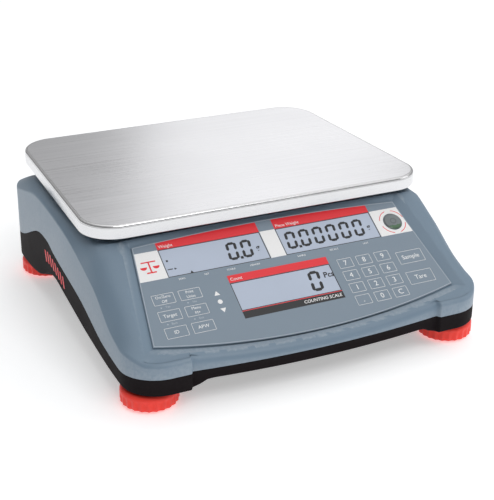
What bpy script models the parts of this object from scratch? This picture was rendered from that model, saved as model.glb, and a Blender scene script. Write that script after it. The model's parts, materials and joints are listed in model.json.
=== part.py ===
"""Bench counting scale: stainless pan, load cell, two-part housing with an inclined display
and key panel, and four screw feet. Metres, +Z up, operator at -Y, origin at the bottom centre."""

import math

import bmesh
import bpy
from mathutils import Matrix, Vector

# ---- overall sizes -------------------------------------------------------------------------
BODY_WIDTH = 0.311
BODY_DEPTH = 0.325
TOTAL_HEIGHT = 0.116
FIT_GAP = 0.0003

# ---- weighing pan --------------------------------------------------------------------------
PAN_WIDTH = 0.306
PAN_REAR_WIDTH = 0.289
PAN_DEPTH = 0.225
PAN_CORNER = 0.030
PAN_RIM = 0.0115
PAN_SHEET = 0.0012
PAN_EDGE = 0.0022
PAN_REAR_INSET = 0.00025
PAN_CLEARANCE = 0.0045

# ---- housing shells ------------------------------------------------------------------------
WALL = 0.0026
FRONT_BOW_RADIUS = 0.780
TOE_WIDTH = 0.0485
TOE_STEP = 0.0030
TOE_SETBACK = 0.00375
TOE_CORNER = 0.030
TOE_TOP = 0.0435
TOE_BLEND = 0.0140
REAR_CORNER = 0.0315
SHOULDER_WIDTH = 0.026
REAR_FALL = 0.0675
REAR_DROP = 0.022
FRONT_EDGE_ROUND = 0.0065
TOE_EDGE_ROUND = 0.0035
SIDE_EDGE_ROUND = 0.0030
BASE_EDGE_ROUND = 0.0020
FLOOR_HEIGHT = 0.016
CENTRE_LIFT = 0.0055
SCOOP_DEPTH = 0.028
CREASE_SHARE = 0.06
MIDDLE_RADIUS = 0.016

# Side lines: (distance behind the front edge, height) and (distance before the rear edge, height).
# The rear heights of the shoulder are drops below the plateau.
SHOULDER_FRONT = [(0.0, 0.0435), (0.0475, 0.0510), (0.0875, 0.0730)]
SHOULDER_REAR_DROPS = [(0.1595, 0.007), (0.0975, 0.002), (0.0425, 0.014), (0.0, 0.022)]
SPLIT_FRONT = [(0.0, 0.031), (0.0325, 0.030), (0.0675, 0.033), (0.1215, 0.048)]
SPLIT_REAR = [(0.1325, 0.0605), (0.1175, 0.065), (0.1025, 0.0655), (0.0325, 0.0405), (0.0, 0.036)]
LOWER_FRONT = [(0.0, 0.0165), (0.0475, 0.0170), (0.1025, 0.0220)]
LOWER_REAR = [(0.1585, 0.0325), (0.1325, 0.0365), (0.1175, 0.0345), (0.0825, 0.0200),
              (0.0525, 0.0162), (0.0, 0.0160)]

# ---- control panel -------------------------------------------------------------------------
PANEL_REACH = 0.100
PANEL_DROP = 0.0045
PANEL_FRONT_Z = 0.0342
FRAME_PROUD = 0.0015
OVERLAY_THICK = 0.0013
OVERLAY_TOP_MARGIN = 0.0365
OVERLAY_LOW_MARGIN = 0.0235
OVERLAY_SIDE = 0.0900
OVERLAY_TOP_BOW = 0.0045
OVERLAY_LOW_BOW = 0.0146
RECESS_MARGIN = 0.0085
RECESS_LOW_MARGIN = 0.0050

LCD_THICK = 0.0045
LCD_SINK = 0.0002
LCD_LEFT_MARGIN = 0.0196
LCD_RIGHT_MARGIN = 0.0270
LCD_GAP = 0.0142
LCD_GAP_CENTRE = -0.0039
LCD_UPPER = (0.0197, 0.0266)
LCD_COUNT = (0.0618, 0.0262)
COUNT_LEFT_GAP = 0.0254
COUNT_RIGHT_GAP = 0.0077

KEY_TRAVEL = 0.0005
KEY_CORNER = 0.0006
FUNCTION_KEY = (0.0180, 0.0094)
FUNCTION_PITCH = (0.0220, 0.0151)
FUNCTION_INSET = 0.0090
FUNCTION_ROW = 0.0510
FUNCTION_NAMES = ["key_on_zero", "key_print_units", "key_target", "key_menu", "key_id", "key_apw"]
NUMBER_KEY = (0.0131, 0.0091)
NUMBER_PITCH = (0.0174, 0.0121)
NUMBER_INSET = 0.0700
NUMBER_ROW = 0.0511
NUMBER_NAMES = ["key_7", "key_8", "key_9", "key_4", "key_5", "key_6",
                "key_1", "key_2", "key_3", "key_point", "key_0", "key_clear"]
WIDE_KEY = (0.0240, 0.0122)
WIDE_KEYS = {"key_sample": (0.0106, 0.0569), "key_tare": (0.0110, 0.0774)}

VIAL_RADIUS = 0.0081
VIAL_INSET = (0.0099, 0.0203)
VIAL_DEPTH = 0.0090
BOARD_DROP = 0.0095
BOARD_THICK = 0.0016
BOARD_SIDE_MARGIN = 0.020
BOARD_ROW = 0.0490
BOARD_HEIGHT = 0.0760

# ---- feet ----------------------------------------------------------------------------------
FOOT_RADIUS = 0.0230
FOOT_INSET = 0.0225
FOOT_FRONT_INSET = 0.0313
FOOT_REAR_INSET = 0.0327
FOOT_FLUTES = 20
FLUTE_DEPTH = 0.0009
WHEEL_EDGE = 0.0012
WHEEL_BOTTOM = 0.0015
WHEEL_CLEARANCE = 0.0008
STUD_RADIUS = 0.0040
STUD_REACH = 0.0170
SOLE_RADIUS = 0.0150
SOLE_HEIGHT = 0.0030
BOSS_WALL = 0.0045
BOSS_ROOF = 0.0050
THREAD_CLEARANCE = 0.0003

# ---- weighing works ------------------------------------------------------------------------
CELL_LENGTH = 0.130
CELL_WIDTH = 0.030
CELL_HEIGHT = 0.022
CELL_END = 0.017
CELL_SLOT = 0.011
CELL_WINDOW_RADIUS = 0.0079
SPACER_SIZE = 0.030
LOWER_SPACER_HEIGHT = 0.0095
UPPER_SPACER_HEIGHT = 0.0155
PEDESTAL_TOP = 0.0300
PEDESTAL_MARGIN = 0.003
BOLT_RADIUS = 0.0030
BOLT_HEAD_RADIUS = 0.0050
BOLT_HEAD_HEIGHT = 0.0050
BOLT_SPACING = 0.018
BOLT_CLEARANCE = 0.0004
BOLT_BITE = 0.0080
STOP_RADIUS = 0.0050
STOP_CLEARANCE = 0.0008
SUPPORT_WIDTH = 0.230
SUPPORT_DEPTH = 0.160
SUPPORT_CLEARANCE = 0.002
SUPPORT_THICK = 0.0045
SUPPORT_RAIL = 0.022
SUPPORT_CORNER = 0.010
WINDOW_CORNER = 0.006
HUB_SIZE = 0.040
HUB_CLEARANCE = 0.0035
PAD_RADIUS = 0.0070
PAD_TOP_RADIUS = 0.0056
PAD_INSET = 0.0120

# ---- inside the base -----------------------------------------------------------------------
BATTERY_SIZE = (0.100, 0.060, 0.034)
BATTERY_CLEARANCE = 0.012
COVER_MARGIN = 0.004
COVER_THICK = 0.0022
COVER_CORNER = 0.002
MAIN_BOARD_SIZE = (0.042, 0.110, 0.0016)
MAIN_BOARD_INSET = (0.0615, 0.1325)
# Parts on the main board: offset from its middle, then width, depth and height.
BOARD_PARTS = [(0.006, 0.030, 0.016, 0.016, 0.004), (-0.008, -0.010, 0.010, 0.022, 0.009),
               (0.010, -0.032, 0.012, 0.012, 0.007)]
SUPPLY_SIZE = (0.042, 0.058, 0.032)
SUPPLY_CORNER = 0.003
SUPPLY_SIDE_INSET = 0.0595
SUPPLY_CLEARANCE = 0.003
SHELF_HEIGHT = 0.0260
STANDOFF_RADIUS = 0.0030
STANDOFF_INSET = 0.005
FRONT_SCREW_INSET = (0.0435, 0.0745)
REAR_LEFT_SCREW_INSET = (0.0635, 0.0275)
REAR_RIGHT_SCREW_INSET = (0.0955, 0.0205)
SCREW_RADIUS = 0.0018
SCREW_HEAD_RADIUS = 0.0036
SCREW_HEAD_HEIGHT = 0.0024
SCREW_TIP = 0.0400
SCREW_CLEARANCE = 0.0003
SCREW_BOSS_WALL = 0.0020
POST_RADIUS = 0.0045
POST_BOTTOM = 0.0250
SWITCH_X = 0.040
SWITCH_REAR_INSET = 0.0525
SWITCH_KNOB = (0.0080, 0.0044)
SWITCH_TRAVEL = 0.0040
SWITCH_FLANGE = 0.0020
SWITCH_FLANGE_MARGIN = (0.003, 0.002)
SWITCH_PROUD = 0.0007

# ---- rear connectors -----------------------------------------------------------------------
CONNECTOR_DROP = 0.022
INLET_SIZE = (0.0274, 0.0220, 0.0198)
INLET_INSET = 0.0605
INLET_SOCKET = (0.0225, 0.0160, 0.0150)
INLET_PIN = (0.0020, 0.0095, 0.0040)
PIN_PLACES = [(-0.007, -0.002), (0.0, 0.002), (0.007, -0.002)]
PORT_SIZE = (0.0310, 0.0140, 0.0126)
PORT_INSET = 0.0755
PORT_RECESS = (0.0170, 0.0060, 0.0084)

OUTLINE_FRONT = 8
OUTLINE_CORNER = 6
OUTLINE_SIDE = 11
OUTLINE_REAR = 3
ROUND_STEPS = 3
ROUND_SIDES = 16

# ---- what follows from the sizes above -----------------------------------------------------
HALF_WIDTH = BODY_WIDTH / 2
HALF_DEPTH = BODY_DEPTH / 2
PLATEAU_HEIGHT = TOTAL_HEIGHT - PAN_RIM - PAN_CLEARANCE
REAR_TOP = PLATEAU_HEIGHT - REAR_DROP
PAN_Y = HALF_DEPTH - PAN_REAR_INSET - PAN_DEPTH / 2
PANEL_TOP_Y = -HALF_DEPTH + PANEL_REACH
PANEL_TOP_Z = PLATEAU_HEIGHT - PANEL_DROP
PANEL_TILT = math.atan((PANEL_TOP_Z - PANEL_FRONT_Z) / PANEL_REACH)
PLANE_TOP = PANEL_TOP_Z + FRAME_PROUD / math.cos(PANEL_TILT)
CREASE_Y = PANEL_TOP_Y + (PLATEAU_HEIGHT - PLANE_TOP) / math.tan(PANEL_TILT)
RECESS_FLOOR = -(OVERLAY_THICK + FIT_GAP)
OVERLAY_TOP_HALF = HALF_WIDTH - OVERLAY_TOP_MARGIN
OVERLAY_LOW_HALF = HALF_WIDTH - OVERLAY_LOW_MARGIN
VIAL_PLACE = (OVERLAY_TOP_HALF - VIAL_INSET[0], VIAL_INSET[1])
FLOOR_TOP = FLOOR_HEIGHT + WALL
WHEEL_TOP = FLOOR_HEIGHT - WHEEL_CLEARANCE
STUD_TOP = FLOOR_HEIGHT + STUD_REACH
BOSS_TOP = STUD_TOP + BOSS_ROOF
CELL_BOTTOM = PEDESTAL_TOP + FIT_GAP + LOWER_SPACER_HEIGHT + FIT_GAP
CELL_TOP = CELL_BOTTOM + CELL_HEIGHT
CELL_REACH = CELL_LENGTH / 2 - CELL_END
HUB_BOTTOM = CELL_TOP + FIT_GAP + UPPER_SPACER_HEIGHT + FIT_GAP
SUPPORT_BOTTOM = PLATEAU_HEIGHT + SUPPORT_CLEARANCE
SUPPORT_TOP = SUPPORT_BOTTOM + SUPPORT_THICK
MAIN_BOARD_PLACE = (-HALF_WIDTH + MAIN_BOARD_INSET[0], HALF_DEPTH - MAIN_BOARD_INSET[1])
SUPPLY_PLACE = (HALF_WIDTH - SUPPLY_SIDE_INSET,
                HALF_DEPTH - INLET_SIZE[1] - SUPPLY_CLEARANCE - SUPPLY_SIZE[1] / 2)
BATTERY_PLACE = (0.0, PAN_Y - CELL_WIDTH / 2 - BATTERY_CLEARANCE - BATTERY_SIZE[1] / 2)
SWITCH_PLACE = (SWITCH_X, HALF_DEPTH - SWITCH_REAR_INSET)
INLET_PLACE = (HALF_WIDTH - INLET_INSET, REAR_TOP - CONNECTOR_DROP)
PORT_PLACE = (-HALF_WIDTH + PORT_INSET, REAR_TOP - CONNECTOR_DROP)
SCREW_PLACES = [
    (-HALF_WIDTH + FRONT_SCREW_INSET[0], -HALF_DEPTH + FRONT_SCREW_INSET[1]),
    (HALF_WIDTH - FRONT_SCREW_INSET[0], -HALF_DEPTH + FRONT_SCREW_INSET[1]),
    (-HALF_WIDTH + REAR_LEFT_SCREW_INSET[0], HALF_DEPTH - REAR_LEFT_SCREW_INSET[1]),
    (HALF_WIDTH - REAR_RIGHT_SCREW_INSET[0], HALF_DEPTH - REAR_RIGHT_SCREW_INSET[1]),
]


def side_line(front, rear):
    """One line along the side, as (y, z), from its front part and its rear part."""
    line = [(-HALF_DEPTH + away, height) for away, height in front]
    return line + [(HALF_DEPTH - away, height) for away, height in rear]


SHOULDER_LINE = side_line(SHOULDER_FRONT, [(away, PLATEAU_HEIGHT - drop)
                                           for away, drop in SHOULDER_REAR_DROPS])
SPLIT_LINE = side_line(SPLIT_FRONT, SPLIT_REAR)
LOWER_LINE = side_line(LOWER_FRONT, LOWER_REAR)


# ---- scene helpers -------------------------------------------------------------------------
def new_collection(name):
    collection = bpy.data.collections.new(name)
    bpy.context.scene.collection.children.link(collection)
    return collection


def make_material(name, colour, roughness, metallic=0.0):
    material = bpy.data.materials.new(name)
    material.use_nodes = True
    shader = material.node_tree.nodes["Principled BSDF"]
    shader.inputs["Base Color"].default_value = (*colour, 1.0)
    shader.inputs["Roughness"].default_value = roughness
    shader.inputs["Metallic"].default_value = metallic
    return material


def add_object(name, bm, material=None, collection=None, smooth=False):
    bmesh.ops.recalc_face_normals(bm, faces=bm.faces)
    mesh = bpy.data.meshes.new(name)
    bm.to_mesh(mesh)
    bm.free()
    if smooth:
        mesh.shade_smooth()
        mesh.set_sharp_from_angle(angle=math.radians(35))
    item = bpy.data.objects.new(name, mesh)
    (collection or PARTS).objects.link(item)
    if material:
        mesh.materials.append(material)
    return item


def add_cutter(name, bm):
    cutter = add_object(name, bm, collection=CUTTERS)
    cutter.hide_render = True
    cutter.display_type = "WIRE"
    return cutter


def combine(item, other, operation="DIFFERENCE"):
    modifier = item.modifiers.new(other.name, "BOOLEAN")
    modifier.operation = operation
    modifier.solver = "EXACT"
    modifier.object = other


def cut(item, name, bm):
    combine(item, add_cutter(name, bm))


def join(item, name, bm):
    combine(item, add_cutter(name, bm), "UNION")


# ---- basic shapes --------------------------------------------------------------------------
def box(bm, size, centre, frame=None, corner=0.0):
    """Add a box; `corner` rounds its four upright edges."""
    made = bmesh.ops.create_cube(bm, size=1.0)["verts"]
    bmesh.ops.scale(bm, vec=Vector(size), verts=made)
    if corner:
        edges = {e for v in made for e in v.link_edges}
        upright = [e for e in edges if abs(e.verts[0].co.z - e.verts[1].co.z) > size[2] / 2]
        made = rounded(bm, upright, corner)
    bmesh.ops.translate(bm, vec=Vector(centre), verts=made)
    if frame:
        bmesh.ops.transform(bm, matrix=frame, verts=made)
    return made


def rounded(bm, edges, radius):
    touched = {v for e in edges for v in e.verts}
    island = {v for f in {f for v in touched for f in v.link_faces} for v in f.verts}
    others = set(bm.verts) - island
    bmesh.ops.bevel(bm, geom=edges, offset=radius, segments=2, profile=0.5, affect="EDGES")
    return [v for v in bm.verts if v not in others]


def cylinder(bm, radius, bottom, top, place, frame=None, sides=ROUND_SIDES):
    made = bmesh.ops.create_cone(bm, cap_ends=True, segments=sides, radius1=radius,
                                 radius2=radius, depth=top - bottom)["verts"]
    bmesh.ops.translate(bm, vec=(place[0], place[1], (top + bottom) / 2), verts=made)
    if frame:
        bmesh.ops.transform(bm, matrix=frame, verts=made)
    return made


def prism(bm, outline, low, high, frame=None):
    """Extrude a flat outline from `low` to `high`."""
    face = bm.faces.new([bm.verts.new((x, y, low)) for x, y in outline])
    raised = bmesh.ops.extrude_face_region(bm, geom=[face])["geom"]
    top = [v for v in raised if isinstance(v, bmesh.types.BMVert)]
    bmesh.ops.translate(bm, vec=(0, 0, high - low), verts=top)
    if frame:
        bmesh.ops.transform(bm, matrix=frame, verts=list(face.verts) + top)


def loft(bm, rings):
    """Skin a run of closed rings with equal point counts, and cap both ends."""
    rows = [[bm.verts.new(point) for point in ring] for ring in rings]
    count = len(rows[0])
    for lower, upper in zip(rows, rows[1:]):
        for i in range(count):
            j = (i + 1) % count
            bm.faces.new((lower[i], lower[j], upper[j], upper[i]))
    bm.faces.new(rows[0])
    bm.faces.new(rows[-1])


def arc(centre, radius, start, end, steps):
    """Points on an arc, both ends included, angles in degrees."""
    points = []
    for i in range(steps + 1):
        angle = math.radians(start + (end - start) * i / steps)
        points.append((centre[0] + radius * math.cos(angle), centre[1] + radius * math.sin(angle)))
    return points


def rounded_rectangle(width, depth, corner, centre, steps):
    x, y = width / 2 - corner, depth / 2 - corner
    corners = [(x, -y, -90), (x, y, 0), (-x, y, 90), (-x, -y, 180)]
    points = []
    for cx, cy, start in corners:
        points += arc((centre[0] + cx, centre[1] + cy), corner, start, start + 90, steps)
    return points


# ---- housing form --------------------------------------------------------------------------
def along(line, y):
    """Height of a side line at y: a smooth monotone curve through its points."""
    y = min(max(y, line[0][0]), line[-1][0])
    spans = list(zip(line, line[1:]))
    slopes = [(b[1] - a[1]) / (b[0] - a[0]) for a, b in spans]
    tangents = [0.0]
    for before, after in zip(slopes, slopes[1:]):
        tangents.append(0.0 if before * after <= 0 else 2 * before * after / (before + after))
    tangents.append(0.0)
    for i, (a, b) in enumerate(spans):
        if y <= b[0]:
            break
    width = b[0] - a[0]
    t = (y - a[0]) / width
    blend = t * t * (3 - 2 * t)
    start_pull = width * tangents[i] * t * (1 - t) ** 2
    end_pull = width * tangents[i + 1] * t * t * (t - 1)
    return a[1] * (1 - blend) + b[1] * blend + start_pull + end_pull


def ease(value):
    value = min(max(value, 0.0), 1.0)
    return value * value * (3 - 2 * value)


def top_height(x, y):
    """Outer surface of the top housing, before its edges are rounded."""
    inclined = PLANE_TOP + (y - PANEL_TOP_Y) * math.tan(PANEL_TILT)
    crown = min(PLATEAU_HEIGHT, inclined)
    toe_inner = HALF_WIDTH - TOE_WIDTH
    toe_share = ease((abs(x) - toe_inner + TOE_STEP) / TOE_STEP)
    crown += (max(crown, TOE_TOP) - crown) * toe_share
    fall = (y - (HALF_DEPTH - REAR_FALL)) / REAR_FALL
    if fall > 0:
        crown = REAR_TOP + (PLATEAU_HEIGHT - REAR_TOP) * (1 - fall ** 2)
    edge = min(along(SHOULDER_LINE, y), crown)
    side = (abs(x) - (HALF_WIDTH - SHOULDER_WIDTH)) / SHOULDER_WIDTH
    if side > 0:
        crown = edge + (crown - edge) * (1 - min(side, 1.0) ** 4)
    return crown


def half_outline():
    """Right half of the housing in plan, front centre to rear centre: point, inward way, rounding."""
    toe_inner = HALF_WIDTH - TOE_WIDTH
    toe_front = -HALF_DEPTH + TOE_SETBACK
    rows = []
    for i in range(OUTLINE_FRONT):
        x = toe_inner * i / (OUTLINE_FRONT - 1)
        y = -HALF_DEPTH + x * x / (2 * FRONT_BOW_RADIUS)
        rows.append((x, y, 0.0, 1.0, FRONT_EDGE_ROUND))
    inner_y = rows[-1][1]
    for i in (1, 2, 3):
        share = ease(i / 3)
        y = inner_y + (toe_front - inner_y) * share
        edge_round = FRONT_EDGE_ROUND + (TOE_EDGE_ROUND - FRONT_EDGE_ROUND) * share
        rows.append((toe_inner + TOE_STEP * i / 3, y, 0.0, 1.0, edge_round))
    centre = (HALF_WIDTH - TOE_CORNER, toe_front + TOE_CORNER)
    for x, y in arc(centre, TOE_CORNER, -90, 0, OUTLINE_CORNER):
        rows.append((x, y, (centre[0] - x) / TOE_CORNER, (centre[1] - y) / TOE_CORNER,
                     TOE_EDGE_ROUND))
    rear = (HALF_WIDTH - REAR_CORNER, HALF_DEPTH - REAR_CORNER)
    for i in range(1, OUTLINE_SIDE):
        y = centre[1] + (rear[1] - centre[1]) * i / OUTLINE_SIDE
        rows.append((HALF_WIDTH, y, -1.0, 0.0, SIDE_EDGE_ROUND))
    for x, y in arc(rear, REAR_CORNER, 0, 90, OUTLINE_CORNER):
        rows.append((x, y, (rear[0] - x) / REAR_CORNER, (rear[1] - y) / REAR_CORNER,
                     SIDE_EDGE_ROUND))
    for i in range(1, OUTLINE_REAR + 1):
        rows.append((rear[0] * (1 - i / OUTLINE_REAR), HALF_DEPTH, 0.0, -1.0, SIDE_EDGE_ROUND))
    return rows


def full_outline():
    right = half_outline()
    left = [(-x, y, -nx, ny, edge) for x, y, nx, ny, edge in right[-2:0:-1]]
    return right + left


def top_meridian(x, y, nx, ny, edge_round):
    """Points from the split line up the wall and over the top, at one place of the outline."""
    step = 0.0005
    rise = max(top_height(x + step * nx, y + step * ny) - top_height(x, y), 0.0)
    slope = math.atan(rise / step)
    sweep = math.pi / 2 - slope
    drop = edge_round * (math.sin(sweep) - (1 - math.cos(sweep)) * math.tan(slope))
    wall_top = top_height(x, y) - drop
    split = along(SPLIT_LINE, y)
    points = [(x, y, split)]
    for i in range(ROUND_STEPS + 1):
        angle = sweep * i / ROUND_STEPS
        inward = edge_round * (1 - math.cos(angle))
        height = max(wall_top + edge_round * math.sin(angle), split + (i + 1) * FIT_GAP)
        points.append((x + inward * nx, y + inward * ny, height))
    for share in (0.22, 0.33, 0.48, 0.65, 0.82, 1.0):
        inward = SHOULDER_WIDTH * share * 1.04
        px, py = x + inward * nx, y + inward * ny
        points.append((px, py, top_height(px, py)))
    start = Vector(points[-1])
    centre = Vector((0.0, PAN_Y, start.z))
    near = start.lerp(centre, CREASE_SHARE)
    if start.y < CREASE_Y:
        front = -HALF_DEPTH + TOE_SETBACK + TOE_CORNER
        share = max(start.y - front, 0.0) / (CREASE_Y - front)
        near.x = start.x * (0.80 + (0.20 - CREASE_SHARE) * share)
        near.y = CREASE_Y
    middle = centre + (near - centre).normalized() * MIDDLE_RADIUS
    for place in (near, near.lerp(middle, 0.5), middle):
        points.append((place.x, place.y, top_height(place.x, place.y)))
    return points


def base_meridian(x, y, nx, ny, _edge_round):
    """Points from the split line down the wall and under the floor, at one place of the outline."""
    toe_inner = HALF_WIDTH - TOE_WIDTH
    low = along(LOWER_LINE, y)
    if y < -HALF_DEPTH + TOE_CORNER:
        low += CENTRE_LIFT * (1 - ease((abs(x) - toe_inner + TOE_BLEND) / TOE_BLEND))
    points = [(x, y, along(SPLIT_LINE, y) - FIT_GAP), (x, y, low + BASE_EDGE_ROUND)]
    for i in range(1, ROUND_STEPS + 1):
        angle = math.pi / 2 * i / ROUND_STEPS
        inward = BASE_EDGE_ROUND * (1 - math.cos(angle))
        height = low + BASE_EDGE_ROUND * (1 - math.sin(angle))
        points.append((x + inward * nx, y + inward * ny, height))
    reach = SCOOP_DEPTH
    if ny == 1.0:
        reach += -HALF_DEPTH + TOE_SETBACK - y
    for share in (0.35, 0.65, 1.0):
        inward = reach * share
        height = FLOOR_HEIGHT + (low - FLOOR_HEIGHT) * (1 - ease(share))
        points.append((x + inward * nx, y + inward * ny, height))
    start = Vector((points[-1][0], points[-1][1], 0.0))
    near = Vector((start.x * 0.85, max(start.y * 0.60, -0.46 * HALF_DEPTH), 0.0))
    middle = near.normalized() * MIDDLE_RADIUS
    for place in (near, middle):
        points.append((place.x, place.y, FLOOR_HEIGHT))
    return points


def offset_inside(meridian, kept, inward_way, side):
    """The wall's inner face: each kept point moved by the wall thickness, square to the surface."""
    points = []
    for k in kept:
        before = Vector(meridian[max(k - 1, 0)])
        after = Vector(meridian[min(k + 1, len(meridian) - 1)])
        if k == 0:
            along_way = Vector((0.0, 0.0, -side))
        else:
            along_way = (after - before).normalized()
        flat = Vector((along_way.x, along_way.y, 0.0))
        across = flat.normalized() if flat.length > 1e-6 else Vector(inward_way)
        run = flat.length
        square = -side * along_way.z * across + side * run * Vector((0, 0, 1))
        place = Vector(meridian[k]) + WALL * square
        points.append(tuple(place))
    return points


def shell(bm, meridian_of, kept, side):
    """Close an outer skin and its inner face into one wall; side is -1 for a top, 1 for a base."""
    outline = full_outline()
    outer = [meridian_of(*row) for row in outline]
    inner = [offset_inside(m, kept, (row[2], row[3], 0.0), side) for m, row in zip(outer, outline)]
    outer_rings = [[m[k] for m in outer] for k in range(len(outer[0]))]
    inner_rings = [[m[k] for m in inner] for k in range(len(kept))]
    loft(bm, outer_rings[::-1] + inner_rings)
    bmesh.ops.triangulate(bm, faces=bm.faces)


# ---- panel form ----------------------------------------------------------------------------
def panel_frame():
    """Panel axes from the panel's top edge: X to the right, Y up the slope, Z out of the panel."""
    tilt = Matrix.Rotation(PANEL_TILT, 4, "X")
    return Matrix.Translation((0.0, PANEL_TOP_Y, PANEL_TOP_Z)) @ tilt


def panel_outline(side_margin, low_margin):
    """Overlay outline grown by a margin, in panel axes (v is down the slope, so y is -v)."""
    lean = (OVERLAY_LOW_HALF - OVERLAY_TOP_HALF) / OVERLAY_SIDE
    top_v = -side_margin
    low_v = OVERLAY_SIDE + low_margin
    top_half = OVERLAY_TOP_HALF + side_margin + lean * top_v
    low_half = OVERLAY_TOP_HALF + side_margin + lean * low_v
    points = []
    steps = 12
    for i in range(steps + 1):
        share = 2 * i / steps - 1
        points.append((low_half * share, -(low_v + OVERLAY_LOW_BOW * (1 - share * share))))
    for i in range(steps + 1):
        share = 1 - 2 * i / steps
        points.append((top_half * share, -(top_v - OVERLAY_TOP_BOW * (1 - share * share))))
    return points


def key_places():
    """Every key as name: (u, v, width, height)."""
    places = {}
    for i, name in enumerate(FUNCTION_NAMES):
        u = -OVERLAY_TOP_HALF + FUNCTION_INSET + FUNCTION_PITCH[0] * (i % 2)
        v = FUNCTION_ROW + FUNCTION_PITCH[1] * (i // 2)
        places[name] = (u, v, *FUNCTION_KEY)
    for i, name in enumerate(NUMBER_NAMES):
        u = OVERLAY_TOP_HALF - NUMBER_INSET + NUMBER_PITCH[0] * (i % 3)
        v = NUMBER_ROW + NUMBER_PITCH[1] * (i // 3)
        places[name] = (u, v, *NUMBER_KEY)
    for name, (inset, v) in WIDE_KEYS.items():
        places[name] = (OVERLAY_TOP_HALF - inset, v, *WIDE_KEY)
    return places


def lcd_windows():
    """Every display window as name: (u, v, width, height)."""
    keys = key_places()
    function_edge = keys["key_print_units"][0] + FUNCTION_KEY[0] / 2
    number_edge = keys["key_7"][0] - NUMBER_KEY[0] / 2
    spans = {
        "lcd_weight": (-OVERLAY_TOP_HALF + LCD_LEFT_MARGIN, LCD_GAP_CENTRE - LCD_GAP / 2, LCD_UPPER),
        "lcd_piece_weight": (LCD_GAP_CENTRE + LCD_GAP / 2, OVERLAY_TOP_HALF - LCD_RIGHT_MARGIN,
                             LCD_UPPER),
        "lcd_count": (function_edge + COUNT_LEFT_GAP, number_edge - COUNT_RIGHT_GAP, LCD_COUNT),
    }
    return {name: ((left + right) / 2, row[0], right - left, row[1])
            for name, (left, right, row) in spans.items()}


def panel_box(bm, u, v, width, height, low, high, grow=0.0, corner=0.0):
    size = (width + 2 * grow, height + 2 * grow, high - low)
    box(bm, size, (u, -v, (low + high) / 2), panel_frame(), corner)


# ---- pieces --------------------------------------------------------------------------------
def build_pan():
    top = TOTAL_HEIGHT
    bottom = top - PAN_RIM

    def ring(inset, height):
        points = []
        for x, y in rounded_rectangle(PAN_WIDTH - 2 * inset, PAN_DEPTH - 2 * inset,
                                      PAN_CORNER - inset, (0.0, PAN_Y), 6):
            back = (y - PAN_Y) / PAN_DEPTH + 0.5
            points.append((x * (1 - back * (1 - PAN_REAR_WIDTH / PAN_WIDTH)), y, height))
        return points

    outer = []
    for i in range(ROUND_STEPS + 1):
        angle = math.pi / 2 * i / ROUND_STEPS
        outer.append(ring(PAN_EDGE * (1 - math.sin(angle)), top - PAN_EDGE * (1 - math.cos(angle))))
    inner_edge = PAN_EDGE - PAN_SHEET
    inner = [ring(PAN_SHEET, bottom), ring(PAN_SHEET, top - PAN_SHEET - inner_edge),
             ring(PAN_SHEET + inner_edge, top - PAN_SHEET)]
    bm = bmesh.new()
    loft(bm, outer + [ring(0.0, bottom)] + inner)
    add_object("weighing_pan", bm, STAINLESS, smooth=True)


def bolt(name, place, head_bottom, tip, material):
    """A cap screw along Z: head from head_bottom, shank to tip (above or below the head)."""
    way = 1 if tip > head_bottom else -1
    head_top = head_bottom + way * BOLT_HEAD_HEIGHT
    profile = [(0.0, tip), (BOLT_RADIUS, tip), (BOLT_RADIUS, head_top),
               (BOLT_HEAD_RADIUS, head_top), (BOLT_HEAD_RADIUS, head_bottom), (0.0, head_bottom)]
    turned(name, profile, place, material)


def turned(name, profile, place, material, sides=16):
    """Turn a profile of (radius, height) about Z, its ends on the axis."""
    if profile[0][1] < profile[-1][1]:
        profile = profile[::-1]
    mesh = bpy.data.meshes.new(name)
    edges = [(i, i + 1) for i in range(len(profile) - 1)]
    mesh.from_pydata([(radius, 0.0, height) for radius, height in profile], edges, [])
    mesh.materials.append(material)
    item = bpy.data.objects.new(name, mesh)
    item.location = (place[0], place[1], 0.0)
    PARTS.objects.link(item)
    screw = item.modifiers.new("turn", "SCREW")
    screw.steps = sides
    screw.render_steps = sides
    screw.use_merge_vertices = True
    screw.merge_threshold = 0.00001
    screw.use_smooth_shade = False
    return item


def bolt_rows(x):
    return [(x, PAN_Y - BOLT_SPACING / 2), (x, PAN_Y + BOLT_SPACING / 2)]


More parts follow.
